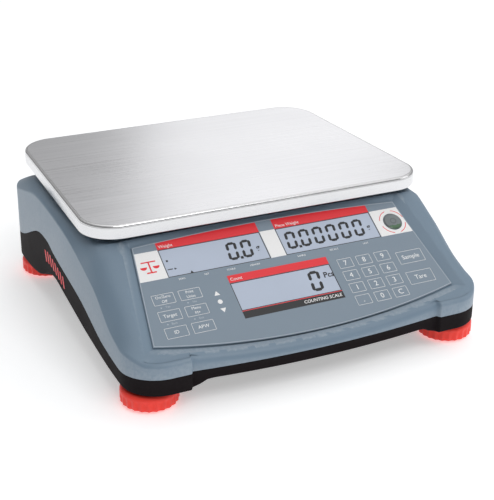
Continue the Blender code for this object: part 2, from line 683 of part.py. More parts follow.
def build_weighing_works():
    grip = BOLT_RADIUS + BOLT_CLEARANCE
    sink = BOLT_HEAD_RADIUS + BOLT_CLEARANCE

    bm = bmesh.new()
    box(bm, (CELL_LENGTH, CELL_WIDTH, CELL_HEIGHT), (0, PAN_Y, (CELL_BOTTOM + CELL_TOP) / 2))
    cell = add_object("load_cell", bm, ALUMINIUM)
    bm = bmesh.new()
    across = Matrix.Translation((0, PAN_Y, (CELL_BOTTOM + CELL_TOP) / 2)) @ Matrix.Rotation(
        math.pi / 2, 4, "X")
    for x in (-CELL_SLOT, CELL_SLOT):
        cylinder(bm, CELL_WINDOW_RADIUS, -CELL_WIDTH, CELL_WIDTH, (x, 0), across)
    cut(cell, "cell_window", bm)
    bm = bmesh.new()
    for place in bolt_rows(CELL_REACH):
        cylinder(bm, grip, CELL_TOP - BOLT_BITE - BOLT_CLEARANCE, CELL_TOP + FIT_GAP, place)
    for place in bolt_rows(-CELL_REACH):
        cylinder(bm, grip, CELL_BOTTOM - FIT_GAP, CELL_BOTTOM + BOLT_BITE + BOLT_CLEARANCE, place)
    cut(cell, "cell_threads", bm)

    for name, x, low, height in (
            ("upper_spacer", CELL_REACH, CELL_TOP + FIT_GAP, UPPER_SPACER_HEIGHT),
            ("lower_spacer", -CELL_REACH, PEDESTAL_TOP + FIT_GAP, LOWER_SPACER_HEIGHT)):
        bm = bmesh.new()
        box(bm, (SPACER_SIZE, CELL_WIDTH, height), (x, PAN_Y, low + height / 2))
        spacer = add_object(name, bm, STEEL)
        bm = bmesh.new()
        for place in bolt_rows(x):
            cylinder(bm, grip, low - FIT_GAP, low + height + FIT_GAP, place)
        cut(spacer, name + "_holes", bm)

    bm = bmesh.new()
    box(bm, (SUPPORT_WIDTH, SUPPORT_DEPTH, SUPPORT_THICK),
        (0, PAN_Y, (SUPPORT_BOTTOM + SUPPORT_TOP) / 2), corner=SUPPORT_CORNER)
    support = add_object("pan_support", bm, CAST)
    bm = bmesh.new()
    box(bm, (HUB_SIZE, HUB_SIZE, SUPPORT_BOTTOM + SUPPORT_THICK / 2 - HUB_BOTTOM),
        (CELL_REACH, PAN_Y, (SUPPORT_BOTTOM + SUPPORT_THICK / 2 + HUB_BOTTOM) / 2))
    join(support, "support_hub", bm)
    bm = bmesh.new()
    span_y = (SUPPORT_DEPTH - 3 * SUPPORT_RAIL) / 2
    reach_y = SUPPORT_RAIL / 2 + span_y / 2
    left_span = SUPPORT_WIDTH / 2 + CELL_REACH - HUB_SIZE / 2 - 2 * SUPPORT_RAIL
    right_span = SUPPORT_WIDTH / 2 - CELL_REACH - HUB_SIZE / 2 - SUPPORT_RAIL
    left_x = -SUPPORT_WIDTH / 2 + SUPPORT_RAIL + left_span / 2
    right_x = SUPPORT_WIDTH / 2 - SUPPORT_RAIL - right_span / 2
    for way in (-1, 1):
        for x, span in ((left_x, left_span), (right_x, right_span)):
            box(bm, (span, span_y, 2 * SUPPORT_THICK),
                (x, PAN_Y + way * reach_y, (SUPPORT_BOTTOM + SUPPORT_TOP) / 2),
                corner=WINDOW_CORNER)
    cut(support, "support_windows", bm)
    bm = bmesh.new()
    for place in bolt_rows(CELL_REACH):
        cylinder(bm, grip, HUB_BOTTOM - FIT_GAP, SUPPORT_TOP + FIT_GAP, place)
    cut(support, "support_bolt_holes", bm)
    bm = bmesh.new()
    head_seat = SUPPORT_TOP - BOLT_HEAD_HEIGHT - 2 * FIT_GAP
    for place in bolt_rows(CELL_REACH):
        cylinder(bm, sink, head_seat, SUPPORT_TOP + FIT_GAP, place)
    cut(support, "support_bolt_sinks", bm)

    for i, place in enumerate(bolt_rows(CELL_REACH)):
        bolt(f"upper_bolt_{i + 1}", place, head_seat + FIT_GAP + BOLT_HEAD_HEIGHT,
             CELL_TOP - BOLT_BITE, STEEL)
    for i, place in enumerate(bolt_rows(-CELL_REACH)):
        bolt(f"lower_bolt_{i + 1}", place, FLOOR_HEIGHT + FIT_GAP, CELL_BOTTOM + BOLT_BITE, STEEL)

    pad_x = SUPPORT_WIDTH / 2 - PAD_INSET
    pad_y = SUPPORT_DEPTH / 2 - PAD_INSET
    pad_top = TOTAL_HEIGHT - PAN_SHEET - FIT_GAP
    for name, x, y in (("front_left", -pad_x, -pad_y), ("front_right", pad_x, -pad_y),
                       ("rear_left", -pad_x, pad_y), ("rear_right", pad_x, pad_y)):
        low = SUPPORT_TOP + FIT_GAP
        turned("pan_pad_" + name, [(0, pad_top), (PAD_TOP_RADIUS, pad_top), (PAD_RADIUS, low),
                                   (0, low)], (x, PAN_Y + y), RUBBER)


def foot_places():
    x = HALF_WIDTH - FOOT_INSET
    front = -HALF_DEPTH + FOOT_FRONT_INSET
    rear = HALF_DEPTH - FOOT_REAR_INSET
    return {"front_left": (-x, front), "front_right": (x, front),
            "rear_left": (-x, rear), "rear_right": (x, rear)}


def build_feet():
    points = FOOT_FLUTES * 2

    def ring(radius, height, fluted, place):
        found = []
        for i in range(points):
            angle = 2 * math.pi * i / points
            reach = radius - (FLUTE_DEPTH if fluted and i % 2 == 0 else 0.0)
            found.append((place[0] + reach * math.cos(angle), place[1] + reach * math.sin(angle),
                          height))
        return found

    pocket = SOLE_RADIUS + FIT_GAP
    for name, place in foot_places().items():
        bm = bmesh.new()
        loft(bm, [ring(pocket, SOLE_HEIGHT + FIT_GAP, False, place),
                  ring(pocket, WHEEL_BOTTOM, False, place),
                  ring(FOOT_RADIUS - WHEEL_EDGE, WHEEL_BOTTOM, True, place),
                  ring(FOOT_RADIUS, WHEEL_BOTTOM + WHEEL_EDGE, True, place),
                  ring(FOOT_RADIUS, WHEEL_TOP - WHEEL_EDGE, True, place),
                  ring(FOOT_RADIUS - WHEEL_EDGE, WHEEL_TOP, True, place),
                  ring(STUD_RADIUS, WHEEL_TOP, False, place),
                  ring(STUD_RADIUS, STUD_TOP, False, place)])
        wheel = add_object("foot_wheel_" + name, bm, RED_PLASTIC)
        wheel.data.transform(Matrix.Translation((-place[0], -place[1], 0)))
        wheel.location = (place[0], place[1], 0)
        turned("foot_sole_" + name, [(0, SOLE_HEIGHT), (SOLE_RADIUS, SOLE_HEIGHT),
                                     (SOLE_RADIUS, 0), (0, 0)], place, RUBBER, 24)


def build_base():
    bm = bmesh.new()
    shell(bm, base_meridian, [0, 3, 5, 7, 8, 9], 1)
    base = add_object("base_housing", bm, BLACK_PLASTIC)

    grip = BOLT_RADIUS + BOLT_CLEARANCE
    sink = BOLT_HEAD_RADIUS + BOLT_CLEARANCE
    head_top = FLOOR_HEIGHT + FIT_GAP + BOLT_HEAD_HEIGHT + FIT_GAP
    middle = FLOOR_HEIGHT + WALL / 2
    pedestal = (SPACER_SIZE + 2 * PEDESTAL_MARGIN, CELL_WIDTH + 2 * PEDESTAL_MARGIN,
                PEDESTAL_TOP - middle)
    boss_radius = STUD_RADIUS + THREAD_CLEARANCE + BOSS_WALL
    screw_boss = SCREW_HEAD_RADIUS + SCREW_CLEARANCE + SCREW_BOSS_WALL
    bm = bmesh.new()
    box(bm, pedestal, (-CELL_REACH, PAN_Y, (PEDESTAL_TOP + middle) / 2))
    cylinder(bm, STOP_RADIUS, middle, CELL_BOTTOM - STOP_CLEARANCE, (CELL_REACH, PAN_Y))
    for place in foot_places().values():
        cylinder(bm, boss_radius, middle, BOSS_TOP, place)
    for place in SCREW_PLACES:
        cylinder(bm, screw_boss, middle, POST_BOTTOM - FIT_GAP, place)
    for centre, size in ((MAIN_BOARD_PLACE, MAIN_BOARD_SIZE), (SUPPLY_PLACE, SUPPLY_SIZE)):
        for sx in (-1, 1):
            for sy in (-1, 1):
                place = (centre[0] + sx * (size[0] / 2 - STANDOFF_INSET),
                         centre[1] + sy * (size[1] / 2 - STANDOFF_INSET))
                cylinder(bm, STANDOFF_RADIUS, middle, SHELF_HEIGHT, place, sides=12)
    join(base, "base_bosses", bm)

    bm = bmesh.new()
    for place in foot_places().values():
        cylinder(bm, STUD_RADIUS + THREAD_CLEARANCE, FLOOR_HEIGHT - WALL, STUD_TOP + WALL, place)
    for place in bolt_rows(-CELL_REACH):
        cylinder(bm, grip, FLOOR_HEIGHT - WALL, PEDESTAL_TOP + WALL, place)
    for place in SCREW_PLACES:
        cylinder(bm, SCREW_RADIUS + SCREW_CLEARANCE, FLOOR_HEIGHT - WALL, POST_BOTTOM + WALL, place)
    box(bm, (BATTERY_SIZE[0] + 2 * COVER_MARGIN, BATTERY_SIZE[1] + 2 * COVER_MARGIN, 4 * WALL),
        (*BATTERY_PLACE, FLOOR_HEIGHT))
    box(bm, (SWITCH_KNOB[0] + SWITCH_TRAVEL + 2 * FIT_GAP, SWITCH_KNOB[1] + 2 * FIT_GAP, 4 * WALL),
        (SWITCH_PLACE[0] + SWITCH_TRAVEL / 2, SWITCH_PLACE[1], FLOOR_HEIGHT))
    cut(base, "base_holes", bm)
    bm = bmesh.new()
    for place in bolt_rows(-CELL_REACH):
        cylinder(bm, sink, FLOOR_HEIGHT - WALL, head_top, place)
    for place in SCREW_PLACES:
        cylinder(bm, SCREW_HEAD_RADIUS + SCREW_CLEARANCE, FLOOR_HEIGHT - WALL,
                 FLOOR_HEIGHT + SCREW_HEAD_HEIGHT + 2 * FIT_GAP, place)
    cut(base, "base_sinks", bm)


def build_top():
    bm = bmesh.new()
    shell(bm, top_meridian, [0, 1, 4, 6, 8, 10, 11, 13], -1)
    top = add_object("top_housing", bm, BLUE_PLASTIC)

    bm = bmesh.new()
    for place in SCREW_PLACES:
        high = top_height(*place) - WALL * 0.8
        cylinder(bm, POST_RADIUS, POST_BOTTOM, high, place)
    join(top, "top_posts", bm)
    bm = bmesh.new()
    prism(bm, panel_outline(RECESS_MARGIN - WALL, 0.0), RECESS_FLOOR - WALL, RECESS_FLOOR / 2,
          panel_frame())
    join(top, "panel_backing", bm)

    bm = bmesh.new()
    floor_rows = panel_outline(FIT_GAP, FIT_GAP)
    crest_rows = panel_outline(RECESS_MARGIN, RECESS_LOW_MARGIN)
    rise = 2.0
    sky = []
    for (fx, fy), (cx, cy) in zip(floor_rows, crest_rows):
        sky.append((fx + (cx - fx) * rise, fy + (cy - fy) * rise))
    lift = FRAME_PROUD - RECESS_FLOOR
    rings = []
    for rows, height in ((floor_rows, RECESS_FLOOR), (crest_rows, FRAME_PROUD),
                         (sky, RECESS_FLOOR + rise * lift)):
        rings.append([panel_frame() @ Vector((x, y, height)) for x, y in rows])
    loft(bm, rings)
    cut(top, "panel_recess", bm)

    bm = bmesh.new()
    deep = RECESS_FLOOR - 3 * WALL
    for u, v, width, height in lcd_windows().values():
        panel_box(bm, u, v, width, height, deep, RECESS_FLOOR + FIT_GAP, FIT_GAP)
    cylinder(bm, VIAL_RADIUS + FIT_GAP, deep, RECESS_FLOOR + FIT_GAP,
             (VIAL_PLACE[0], -VIAL_PLACE[1]), panel_frame())
    cut(top, "display_windows", bm)

    bm = bmesh.new()
    opening = HUB_SIZE + 2 * HUB_CLEARANCE
    box(bm, (opening, opening, 6 * WALL), (CELL_REACH, PAN_Y, PLATEAU_HEIGHT))
    for size, place in ((INLET_SIZE, INLET_PLACE), (PORT_SIZE, PORT_PLACE)):
        box(bm, (size[0] + 2 * FIT_GAP, 8 * WALL, size[2] + 2 * FIT_GAP),
            (place[0], HALF_DEPTH, place[1]))
    for place in SCREW_PLACES:
        cylinder(bm, SCREW_RADIUS + SCREW_CLEARANCE, POST_BOTTOM - WALL,
                 SCREW_TIP + SCREW_CLEARANCE, place, sides=12)
    cut(top, "top_openings", bm)


def build_panel():
    bm = bmesh.new()
    prism(bm, panel_outline(0.0, 0.0), -OVERLAY_THICK, 0.0, panel_frame())
    overlay = add_object("panel_overlay", bm, GREY_OVERLAY)
    bm = bmesh.new()
    low, high = -3 * OVERLAY_THICK, 2 * OVERLAY_THICK
    for u, v, width, height in lcd_windows().values():
        panel_box(bm, u, v, width, height, low, high, FIT_GAP / 2)
    for u, v, width, height in key_places().values():
        panel_box(bm, u, v, width, height, low, high, FIT_GAP)
    cylinder(bm, VIAL_RADIUS + FIT_GAP, low, high, (VIAL_PLACE[0], -VIAL_PLACE[1]), panel_frame())
    cut(overlay, "overlay_windows", bm)

    for name, (u, v, width, height) in lcd_windows().items():
        bm = bmesh.new()
        panel_box(bm, u, v, width, height, -LCD_SINK - LCD_THICK, -LCD_SINK, -FIT_GAP / 2)
        add_object(name, bm, LCD_GREY)

    for name, (u, v, width, height) in key_places().items():
        bm = bmesh.new()
        thick = OVERLAY_THICK - KEY_TRAVEL
        box(bm, (width, height, thick), (0, 0, -thick / 2), corner=KEY_CORNER)
        key = add_object(name, bm, GREY_OVERLAY)
        key.matrix_world = panel_frame() @ Matrix.Translation((u, -v, 0))

    bm = bmesh.new()
    cylinder(bm, VIAL_RADIUS, -VIAL_DEPTH, 0.0, (VIAL_PLACE[0], -VIAL_PLACE[1]), panel_frame())
    add_object("level_vial", bm, VIAL_GREEN)

    bm = bmesh.new()
    board_top = -BOARD_DROP
    panel_box(bm, 0.0, BOARD_ROW, 2 * (OVERLAY_TOP_HALF - BOARD_SIDE_MARGIN), BOARD_HEIGHT,
              board_top - BOARD_THICK, board_top)
    add_object("display_board", bm, BOARD_GREEN)


def build_inside():
    floor = FLOOR_HEIGHT + COVER_THICK + FIT_GAP
    bm = bmesh.new()
    box(bm, BATTERY_SIZE, (*BATTERY_PLACE, floor + BATTERY_SIZE[2] / 2))
    add_object("battery", bm, DARK_CASE)

    bm = bmesh.new()
    box(bm, (BATTERY_SIZE[0] + 2 * COVER_MARGIN - 2 * FIT_GAP,
             BATTERY_SIZE[1] + 2 * COVER_MARGIN - 2 * FIT_GAP, COVER_THICK),
        (*BATTERY_PLACE, FLOOR_HEIGHT + COVER_THICK / 2), corner=COVER_CORNER)
    add_object("battery_cover", bm, BLACK_PLASTIC)

    shelf = SHELF_HEIGHT + FIT_GAP
    bm = bmesh.new()
    box(bm, MAIN_BOARD_SIZE, (*MAIN_BOARD_PLACE, shelf + MAIN_BOARD_SIZE[2] / 2))
    board = add_object("main_board", bm, BOARD_GREEN)
    bm = bmesh.new()
    top = shelf + MAIN_BOARD_SIZE[2] / 2
    for dx, dy, width, depth, height in BOARD_PARTS:
        box(bm, (width, depth, height),
            (MAIN_BOARD_PLACE[0] + dx, MAIN_BOARD_PLACE[1] + dy, top + height / 2))
    join(board, "board_parts", bm)

    bm = bmesh.new()
    box(bm, SUPPLY_SIZE, (*SUPPLY_PLACE, shelf + SUPPLY_SIZE[2] / 2), corner=SUPPLY_CORNER)
    add_object("power_supply", bm, DARK_CASE)

    bm = bmesh.new()
    box(bm, (*SWITCH_KNOB, WALL + 2 * SWITCH_PROUD), (*SWITCH_PLACE, FLOOR_HEIGHT + WALL / 2))
    switch = add_object("lock_switch", bm, DARK_CASE)
    bm = bmesh.new()
    box(bm, (SWITCH_KNOB[0] + 2 * SWITCH_FLANGE_MARGIN[0],
             SWITCH_KNOB[1] + 2 * SWITCH_FLANGE_MARGIN[1], SWITCH_FLANGE),
        (*SWITCH_PLACE, FLOOR_TOP + FIT_GAP + SWITCH_FLANGE / 2))
    join(switch, "switch_flange", bm)

    for i, place in enumerate(SCREW_PLACES):
        head = FLOOR_HEIGHT + FIT_GAP
        turned(f"housing_screw_{i + 1}",
               [(0, SCREW_TIP), (SCREW_RADIUS, SCREW_TIP - SCREW_RADIUS),
                (SCREW_RADIUS, head + SCREW_HEAD_HEIGHT),
                (SCREW_HEAD_RADIUS, head + SCREW_HEAD_HEIGHT), (SCREW_HEAD_RADIUS, head),
                (0, head)], place, STEEL, 12)


def build_connectors():
    rear = HALF_DEPTH
    bm = bmesh.new()
    box(bm, INLET_SIZE, (INLET_PLACE[0], rear - INLET_SIZE[1] / 2, INLET_PLACE[1]))
    inlet = add_object("mains_inlet", bm, BLACK_PLASTIC)
    bm = bmesh.new()
    box(bm, (INLET_SOCKET[0], 2 * INLET_SOCKET[1], INLET_SOCKET[2]),
        (INLET_PLACE[0], rear, INLET_PLACE[1]))
    cut(inlet, "inlet_socket", bm)
    bm = bmesh.new()
    back = rear - INLET_SOCKET[1]
    for dx, dz in PIN_PLACES:
        box(bm, (INLET_PIN[0], INLET_PIN[1] + WALL, INLET_PIN[2]),
            (INLET_PLACE[0] + dx, back + (INLET_PIN[1] - WALL) / 2, INLET_PLACE[1] + dz))
    join(inlet, "inlet_pins", bm)

    bm = bmesh.new()
    box(bm, PORT_SIZE, (PORT_PLACE[0], rear - PORT_SIZE[1] / 2, PORT_PLACE[1]))
    port = add_object("serial_port", bm, STEEL)
    bm = bmesh.new()
    box(bm, (PORT_RECESS[0], 2 * PORT_RECESS[1], PORT_RECESS[2]),
        (PORT_PLACE[0], rear, PORT_PLACE[1]))
    cut(port, "port_recess", bm)


for old in list(bpy.data.objects):
    bpy.data.objects.remove(old, do_unlink=True)
PARTS = new_collection("counting_scale")
CUTTERS = new_collection("cutters")

STAINLESS = make_material("brushed_stainless", (0.62, 0.62, 0.61), 0.28, 1.0)
BLUE_PLASTIC = make_material("blue_grey_abs", (0.20, 0.27, 0.33), 0.45)
BLACK_PLASTIC = make_material("black_abs", (0.022, 0.020, 0.020), 0.5)
RED_PLASTIC = make_material("red_nylon", (0.80, 0.045, 0.040), 0.45)
GREY_OVERLAY = make_material("grey_overlay", (0.20, 0.25, 0.30), 0.4)
LCD_GREY = make_material("lcd_glass", (0.45, 0.52, 0.62), 0.15)
VIAL_GREEN = make_material("vial_acrylic", (0.20, 0.27, 0.22), 0.08)
RUBBER = make_material("black_rubber", (0.03, 0.03, 0.03), 0.8)
STEEL = make_material("zinc_steel", (0.55, 0.55, 0.56), 0.35, 1.0)
ALUMINIUM = make_material("aluminium", (0.70, 0.71, 0.72), 0.35, 1.0)
CAST = make_material("cast_aluminium", (0.50, 0.50, 0.51), 0.5, 1.0)
BOARD_GREEN = make_material("circuit_board", (0.02, 0.18, 0.07), 0.5)
DARK_CASE = make_material("dark_case", (0.05, 0.05, 0.055), 0.55)

build_pan()
build_weighing_works()
build_base()
build_top()
build_panel()
build_inside()
build_connectors()
build_feet()
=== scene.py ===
"""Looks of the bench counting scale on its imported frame. Metres, +Z up, operator at -Y."""

import json
import math

import bmesh
import bpy
from mathutils import Matrix, Vector

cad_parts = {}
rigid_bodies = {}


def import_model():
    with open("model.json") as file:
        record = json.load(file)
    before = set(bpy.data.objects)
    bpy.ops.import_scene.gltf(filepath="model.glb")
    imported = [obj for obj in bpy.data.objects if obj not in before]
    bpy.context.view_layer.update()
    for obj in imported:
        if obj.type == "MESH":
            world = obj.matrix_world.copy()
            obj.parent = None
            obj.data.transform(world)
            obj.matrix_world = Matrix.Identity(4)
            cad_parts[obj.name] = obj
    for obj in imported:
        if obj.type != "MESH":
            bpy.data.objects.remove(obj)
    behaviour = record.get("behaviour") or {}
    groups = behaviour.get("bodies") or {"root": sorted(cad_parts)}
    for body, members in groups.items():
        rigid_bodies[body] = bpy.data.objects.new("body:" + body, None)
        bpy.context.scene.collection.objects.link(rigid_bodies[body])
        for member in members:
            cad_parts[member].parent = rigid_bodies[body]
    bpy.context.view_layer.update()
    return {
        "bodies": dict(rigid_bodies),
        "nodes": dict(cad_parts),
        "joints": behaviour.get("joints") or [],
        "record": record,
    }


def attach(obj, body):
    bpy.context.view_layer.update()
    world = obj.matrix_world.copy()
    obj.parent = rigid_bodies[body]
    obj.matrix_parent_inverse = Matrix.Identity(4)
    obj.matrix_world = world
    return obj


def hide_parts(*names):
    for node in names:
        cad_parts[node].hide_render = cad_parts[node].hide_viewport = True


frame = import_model()

# ---- overall sizes ----
BODY_WIDTH = 0.311
BODY_DEPTH = 0.325
TOTAL_HEIGHT = 0.116
FIT_GAP = 0.0003

# ---- weighing pan ----
PAN_WIDTH = 0.306
PAN_REAR_WIDTH = 0.289
PAN_DEPTH = 0.225
PAN_CORNER = 0.030
PAN_RIM = 0.0115
PAN_SHEET = 0.0012
PAN_EDGE = 0.0022
PAN_REAR_INSET = 0.00025
PAN_CLEARANCE = 0.0045

# ---- housing shells ----
WALL = 0.0026
FRONT_BOW_RADIUS = 0.780
TOE_WIDTH = 0.0485
TOE_STEP = 0.0030
TOE_SETBACK = 0.00375
TOE_CORNER = 0.030
TOE_TOP = 0.0435
TOE_BLEND = 0.0140
REAR_CORNER = 0.0315
SHOULDER_WIDTH = 0.026
REAR_FALL = 0.0675
REAR_DROP = 0.022
FRONT_EDGE_ROUND = 0.0065
TOE_EDGE_ROUND = 0.0035
SIDE_EDGE_ROUND = 0.0030
BASE_EDGE_ROUND = 0.0020
FLOOR_HEIGHT = 0.016
CENTRE_LIFT = 0.0055
SCOOP_DEPTH = 0.028
CREASE_SHARE = 0.06
MIDDLE_RADIUS = 0.016

# Side lines: (distance behind the front edge, height) and (distance before the rear edge, height).
# The rear heights of the shoulder are drops below the plateau.
SHOULDER_FRONT = [(0.0, 0.0435), (0.0475, 0.0510), (0.0875, 0.0730)]
SHOULDER_REAR_DROPS = [(0.1595, 0.007), (0.0975, 0.002), (0.0425, 0.014), (0.0, 0.022)]
SPLIT_FRONT = [(0.0, 0.031), (0.0325, 0.030), (0.0675, 0.033), (0.1215, 0.048)]
SPLIT_REAR = [(0.1325, 0.0605), (0.1175, 0.065), (0.1025, 0.0655), (0.0325, 0.0405), (0.0, 0.036)]
LOWER_FRONT = [(0.0, 0.0165), (0.0475, 0.0170), (0.1025, 0.0220)]
LOWER_REAR = [(0.1585, 0.0325), (0.1325, 0.0365), (0.1175, 0.0345), (0.0825, 0.0200),
              (0.0525, 0.0162), (0.0, 0.0160)]

# ---- control panel ----
PANEL_REACH = 0.100
PANEL_DROP = 0.0045
PANEL_FRONT_Z = 0.0342
FRAME_PROUD = 0.0015
OVERLAY_THICK = 0.0013
OVERLAY_TOP_MARGIN = 0.0365
OVERLAY_LOW_MARGIN = 0.0235
OVERLAY_SIDE = 0.0900
OVERLAY_TOP_BOW = 0.0045
OVERLAY_LOW_BOW = 0.0146
RECESS_MARGIN = 0.0085
RECESS_LOW_MARGIN = 0.0050

LCD_SINK = 0.0002

KEY_TRAVEL = 0.0005
KEY_CORNER = 0.0006

VIAL_RADIUS = 0.0081
VIAL_INSET = (0.0099, 0.0203)
VIAL_DEPTH = 0.0090

# ---- feet ----
FOOT_RADIUS = 0.0230
FLUTE_DEPTH = 0.0009
WHEEL_BOTTOM = 0.0015
WHEEL_CLEARANCE = 0.0008
STUD_RADIUS = 0.0040
STUD_REACH = 0.0170
SOLE_RADIUS = 0.0150
SOLE_HEIGHT = 0.0030
BOSS_WALL = 0.0045
BOSS_ROOF = 0.0050
THREAD_CLEARANCE = 0.0003

# ---- weighing works ----
CELL_LENGTH = 0.130
CELL_END = 0.017
BOLT_HEAD_RADIUS = 0.0050
BOLT_HEAD_HEIGHT = 0.0050
BOLT_CLEARANCE = 0.0004
HUB_SIZE = 0.040
HUB_CLEARANCE = 0.0035

# ---- inside the base ----
SCREW_HEAD_RADIUS = 0.0036
SCREW_HEAD_HEIGHT = 0.0024
SCREW_CLEARANCE = 0.0003
SWITCH_X = 0.040
SWITCH_REAR_INSET = 0.0525
SWITCH_KNOB = (0.0080, 0.0044)
SWITCH_TRAVEL = 0.0040

# ---- rear connectors ----
INLET_SOCKET_DEPTH = 0.0160
INLET_PIN = (0.0020, 0.0095, 0.0040)
PIN_PLACES = [(-0.007, -0.002), (0.0, 0.002), (0.007, -0.002)]
PORT_RECESS_DEPTH = 0.0060

# ---- fineness of the curves ----
OUTLINE_FRONT = 20
OUTLINE_CORNER = 14
OUTLINE_SIDE = 44
OUTLINE_REAR = 8
TOE_ROWS = 6
ROUND_STEPS = 6
ROUND_SIDES = 32
PANEL_STEPS = 36
SHOULDER_SHARES = (0.12, 0.22, 0.33, 0.42, 0.52, 0.62, 0.72, 0.82, 0.91, 1.0)
VISUAL_FLUTES = 24
ROLL_STEPS = 8
# Where the row of bars starts and ends along the base's left side, and how many there are.
SIDE_MARKS = (0.004, 0.052, 8)

# ---- printing and looks ----
PRINT = 0.00006
BAR_EDGE = 0.0011
KEY_LINE_GAP = 0.00006
# Width of the pan's narrow crease bands, which carry painted shade.
CREASE_LINE = 0.00035
FILM_GAP = 0.00004
LCD_READINGS = {
    "lcd_weight": ("0.0", "g", 0.0170, 0.0100, 0.001),
    "lcd_piece_weight": ("0.00000", "g", 0.0170, 0.0100, 0.001),
    "lcd_count": ("0", "Pcs", 0.0190, 0.0110, -0.0035),
}
# Each key: its upper and lower legend and their letter size.
KEY_LEGENDS = {
    "key_on_zero": ("On/Zero", "Off", 0.0034), "key_print_units": ("Print", "Units", 0.0034),
    "key_target": ("Target", "", 0.0042), "key_menu": ("Menu", "M+", 0.0034),
    "key_id": ("ID", "", 0.0042), "key_apw": ("APW", "", 0.0042),
    **{"key_" + figure: (figure, "", 0.0066) for figure in "789456123"},
    "key_point": (".", "", 0.0066), "key_0": ("0", "", 0.0066), "key_clear": ("C", "", 0.0066),
    "key_sample": ("Sample", "", 0.0058), "key_tare": ("Tare", "", 0.0058),
}
TITLE_SIZE = 0.0040
FLAG_SIZE = 0.0022
KEY_LINE = 0.00028
LEGEND_SHIFT = 0.0021
FLOOR_COLOUR = (0.86, 0.87, 0.88)
FLOOR_GLOW = 0.42
WORLD_STRENGTH = 1.0
# The studio's brightness along one way: dim low down at the front left, brighter behind and above.
SKY_WAY = (0.30, 0.25, 0.92)
SKY_TONES = [(0.0, 0.22), (0.30, 0.27), (0.55, 0.40), (0.74, 0.48), (0.88, 1.0), (1.0, 1.25)]
# Each light: name, place, size and power.
STUDIO_LIGHTS = [
    ("key_light", (0.2, -1.4, 1.9), (1.4, 1.0), 14.0),
    ("back_light", (0.86, 1.58, 0.85), (0.7, 0.9), 1.7),
    ("side_light", (1.6, -0.6, 0.9), (1.0, 0.8), 3.0),
]
LIGHT_AIM = (0.0, 0.0, 0.06)
CAMERA_PLACE = (-0.4095, -0.8694, 0.4748)
CAMERA_TURN = (1.1516, -0.0083, -0.4471)
CAMERA_LENS = 86.4

# ---- what follows from the sizes above ----
HALF_WIDTH = BODY_WIDTH / 2
HALF_DEPTH = BODY_DEPTH / 2
PLATEAU_HEIGHT = TOTAL_HEIGHT - PAN_RIM - PAN_CLEARANCE
REAR_TOP = PLATEAU_HEIGHT - REAR_DROP
PAN_Y = HALF_DEPTH - PAN_REAR_INSET - PAN_DEPTH / 2
PANEL_TOP_Y = -HALF_DEPTH + PANEL_REACH
PANEL_TOP_Z = PLATEAU_HEIGHT - PANEL_DROP
PANEL_TILT = math.atan((PANEL_TOP_Z - PANEL_FRONT_Z) / PANEL_REACH)
PLANE_TOP = PANEL_TOP_Z + FRAME_PROUD / math.cos(PANEL_TILT)
CREASE_Y = PANEL_TOP_Y + (PLATEAU_HEIGHT - PLANE_TOP) / math.tan(PANEL_TILT)
RECESS_FLOOR = -(OVERLAY_THICK + FIT_GAP)
OVERLAY_TOP_HALF = HALF_WIDTH - OVERLAY_TOP_MARGIN
OVERLAY_LOW_HALF = HALF_WIDTH - OVERLAY_LOW_MARGIN
VIAL_PLACE = (OVERLAY_TOP_HALF - VIAL_INSET[0], VIAL_INSET[1])
WHEEL_TOP = FLOOR_HEIGHT - WHEEL_CLEARANCE
STUD_TOP = FLOOR_HEIGHT + STUD_REACH
BOSS_TOP = STUD_TOP + BOSS_ROOF
CELL_REACH = CELL_LENGTH / 2 - CELL_END
SWITCH_PLACE = (SWITCH_X, HALF_DEPTH - SWITCH_REAR_INSET)


def side_line(front, rear):
    """One line along the side, as (y, z), from its front part and its rear part."""
    line = [(-HALF_DEPTH + away, height) for away, height in front]
    return line + [(HALF_DEPTH - away, height) for away, height in rear]


SHOULDER_LINE = side_line(SHOULDER_FRONT, [(away, PLATEAU_HEIGHT - drop)
                                           for away, drop in SHOULDER_REAR_DROPS])
SPLIT_LINE = side_line(SPLIT_FRONT, SPLIT_REAR)
LOWER_LINE = side_line(LOWER_FRONT, LOWER_REAR)


# ---- shapes ----
def box(bm, size, centre, frame=None, corner=0.0):
    """Add a box; `corner` rounds its four upright edges."""
    made = bmesh.ops.create_cube(bm, size=1.0)["verts"]
    bmesh.ops.scale(bm, vec=Vector(size), verts=made)
    if corner:
        edges = {e for v in made for e in v.link_edges}
        upright = [e for e in edges if abs(e.verts[0].co.z - e.verts[1].co.z) > size[2] / 2]
        made = rounded(bm, upright, corner)
    bmesh.ops.translate(bm, vec=Vector(centre), verts=made)
    if frame:
        bmesh.ops.transform(bm, matrix=frame, verts=made)
    return made


def rounded(bm, edges, radius):
    touched = {v for e in edges for v in e.verts}
    island = {v for f in {f for v in touched for f in v.link_faces} for v in f.verts}
    others = set(bm.verts) - island
    bmesh.ops.bevel(bm, geom=edges, offset=radius, segments=2, profile=0.5, affect="EDGES")
    return [v for v in bm.verts if v not in others]


def cylinder(bm, radius, bottom, top, place, frame=None, sides=ROUND_SIDES):
    made = bmesh.ops.create_cone(bm, cap_ends=True, segments=sides, radius1=radius,
                                 radius2=radius, depth=top - bottom)["verts"]
    bmesh.ops.translate(bm, vec=(place[0], place[1], (top + bottom) / 2), verts=made)
    if frame:
        bmesh.ops.transform(bm, matrix=frame, verts=made)
    return made


def prism(bm, outline, low, high, frame=None):
    """Extrude a flat outline from `low` to `high`."""
    face = bm.faces.new([bm.verts.new((x, y, low)) for x, y in outline])
    raised = bmesh.ops.extrude_face_region(bm, geom=[face])["geom"]
    top = [v for v in raised if isinstance(v, bmesh.types.BMVert)]
    bmesh.ops.translate(bm, vec=(0, 0, high - low), verts=top)
    if frame:
        bmesh.ops.transform(bm, matrix=frame, verts=list(face.verts) + top)


